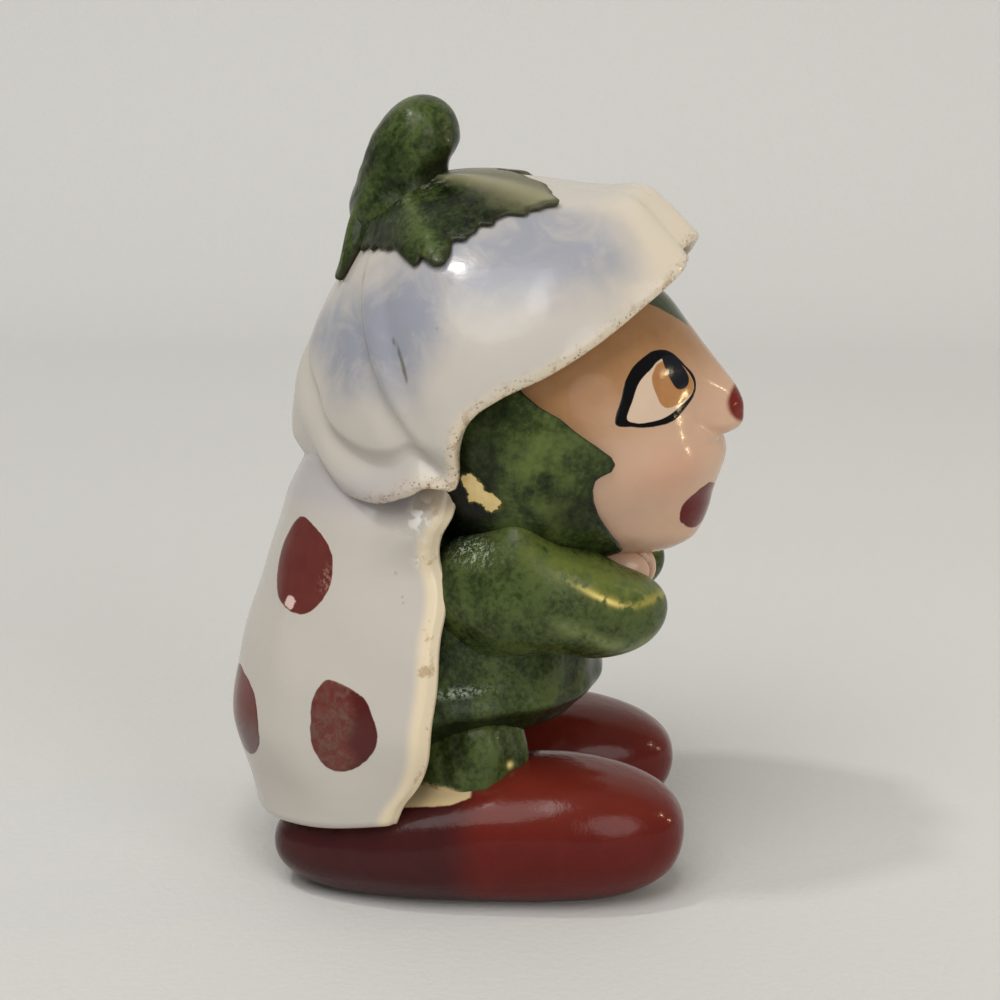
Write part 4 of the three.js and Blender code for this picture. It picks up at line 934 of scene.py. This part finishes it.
dress(buildHead(), faceGlaze(), "head")
dress(buildHood(), greenGlaze("hoodGreenGlaze", "ripple", 0.25, -0.03, hoodPaint), "leaf_hood")
print("head and hood made")
dress(buildHat(), hatGlaze(), "flower_hat")
dress(buildCalyx(), greenGlaze("calyxGreenGlaze", "ridge", 0.22, -0.09, calyxPaint), "calyx")
dress(buildStem(), greenGlaze("stemGreenGlaze", "rough", 0.35, 0.0, stemPaint), "hat_stem")
print("hat, calyx and stem made")
dress(buildTorso(), greenGlaze("tunicGreenGlaze", "fold", 0.3, -0.02, tunicPaint), "torso")
handSkin, shoeGloss = handGlaze(), shoeGlaze()
armGreen = greenGlaze("sleeveGreenGlaze", "ridge", 0.15, 0.04, sleevePaint)
legGreen = greenGlaze("legGreenGlaze", "fold", 0.18, 0.04, legPaint)
for word, side in (("Right", -1), ("Left", 1)):
    node = word.lower()
    dress(buildWing(word, side), wingGlaze(word), f"wing_case_{node}")
    dress(buildArm(word, side), armGreen, f"arm_{node}")
    dress(buildHand(word, side), handSkin, f"hand_{node}")
    dress(buildLeg(word, side), legGreen, f"leg_{node}")
    dress(buildShoe(word, side), shoeGloss, f"shoe_{node}")
print("wing cases, arms, hands, legs and shoes made")


# Floor, camera and light

studio = dict(
    halfWidth=3000.0, wall=520, bend=160, wallTop=2500, paper=((208, 208, 206), (212, 212, 210)),
    lens=84.24, sensor=36, clip=(0.01, 50), cameraPlace=(-290.7, -17.3, 119.6), cameraTarget=(0, -2.05, 47),
    sky=(0.92, 0.9, 0.87, 1), skyStrength=0.3, lampTarget=(0, 0, 50),
    lamps=dict(  # place, size, power and colour of each oval lamp
        ceilingGlow=((-800, 300, 1300), (1150, 1150), 10.4, (1.0, 0.98, 0.95)),
        smallBulb=((-190, 560, 1400), (130, 130), 3.8, (1.0, 0.97, 0.92)),
        longWindow=((-690, -90, 1360), (200, 640), 1.4, (1.0, 0.99, 0.97)),
        frontFill=((-1100, -900, 600), (900, 900), 5.4, (1.0, 0.98, 0.96)),
        warmGlintHigh=((52, -427, 200), (17, 17), 0.1, (1.0, 0.8, 0.5)),
        warmGlintLow=((92, -425, 92), (15, 15), 0.07, (1.0, 0.78, 0.45))))


def makeFloor():
    # One sheet of pale paper: flat floor, a quarter circle behind the figure, and an upright wall
    turn = np.linspace(0, math.pi / 2, 40)
    half, wall, bend = studio["halfWidth"], studio["wall"], studio["bend"]
    across = np.concatenate([[-half], wall - bend + bend * np.sin(turn), [wall]])
    up = np.concatenate([[0], bend * (1 - np.cos(turn)), [studio["wallTop"]]])
    grid = xyz(across[:, None], np.array([-half, half])[None, :], up[:, None]).reshape(-1, 3)
    k = np.arange(len(across) - 1) * 2
    piece = meshPiece("studioPaper", grid, [np.stack([k, k + 2, k + 3, k + 1], -1)], {})
    g = Glaze("palePaper")
    g.colour = g.mix(g.noise(3, 2), *studio["paper"])
    piece.data.materials.append(g.finish(0.75, g.bump(g.noise(900, 2), 0.0001), 0.0))


def aim(item, place, target):
    item.location = Vector(place) * mm
    item.rotation_euler = (Vector(target) - Vector(place)).to_track_quat("-Z", "Y").to_euler()
    bpy.context.scene.collection.objects.link(item)


def makeLamp(name, place, size, power, colour):
    lamp = bpy.data.lights.new(name, "AREA")
    lamp.shape = "ELLIPSE"
    lamp.energy, lamp.size, lamp.size_y, lamp.color = power, size[0] * mm, size[1] * mm, colour
    aim(bpy.data.objects.new(name, lamp), place, studio["lampTarget"])


camera = bpy.data.objects.new("photoCamera", bpy.data.cameras.new("photoCamera"))
camera.data.lens, camera.data.sensor_width = studio["lens"], studio["sensor"]
camera.data.clip_start, camera.data.clip_end = studio["clip"]
aim(camera, studio["cameraPlace"], studio["cameraTarget"])
bpy.context.scene.camera = camera
makeFloor()
for name, lamp in studio["lamps"].items():
    makeLamp(name, *lamp)
world = bpy.data.worlds.new("paleRoom")
world.use_nodes = True
background = world.node_tree.nodes["Background"].inputs
background["Color"].default_value, background["Strength"].default_value = studio["sky"], studio["skyStrength"]
bpy.context.scene.world = world
bpy.context.scene.view_settings.view_transform = "Standard"
print("floor, camera and light made")

print("scene ready")
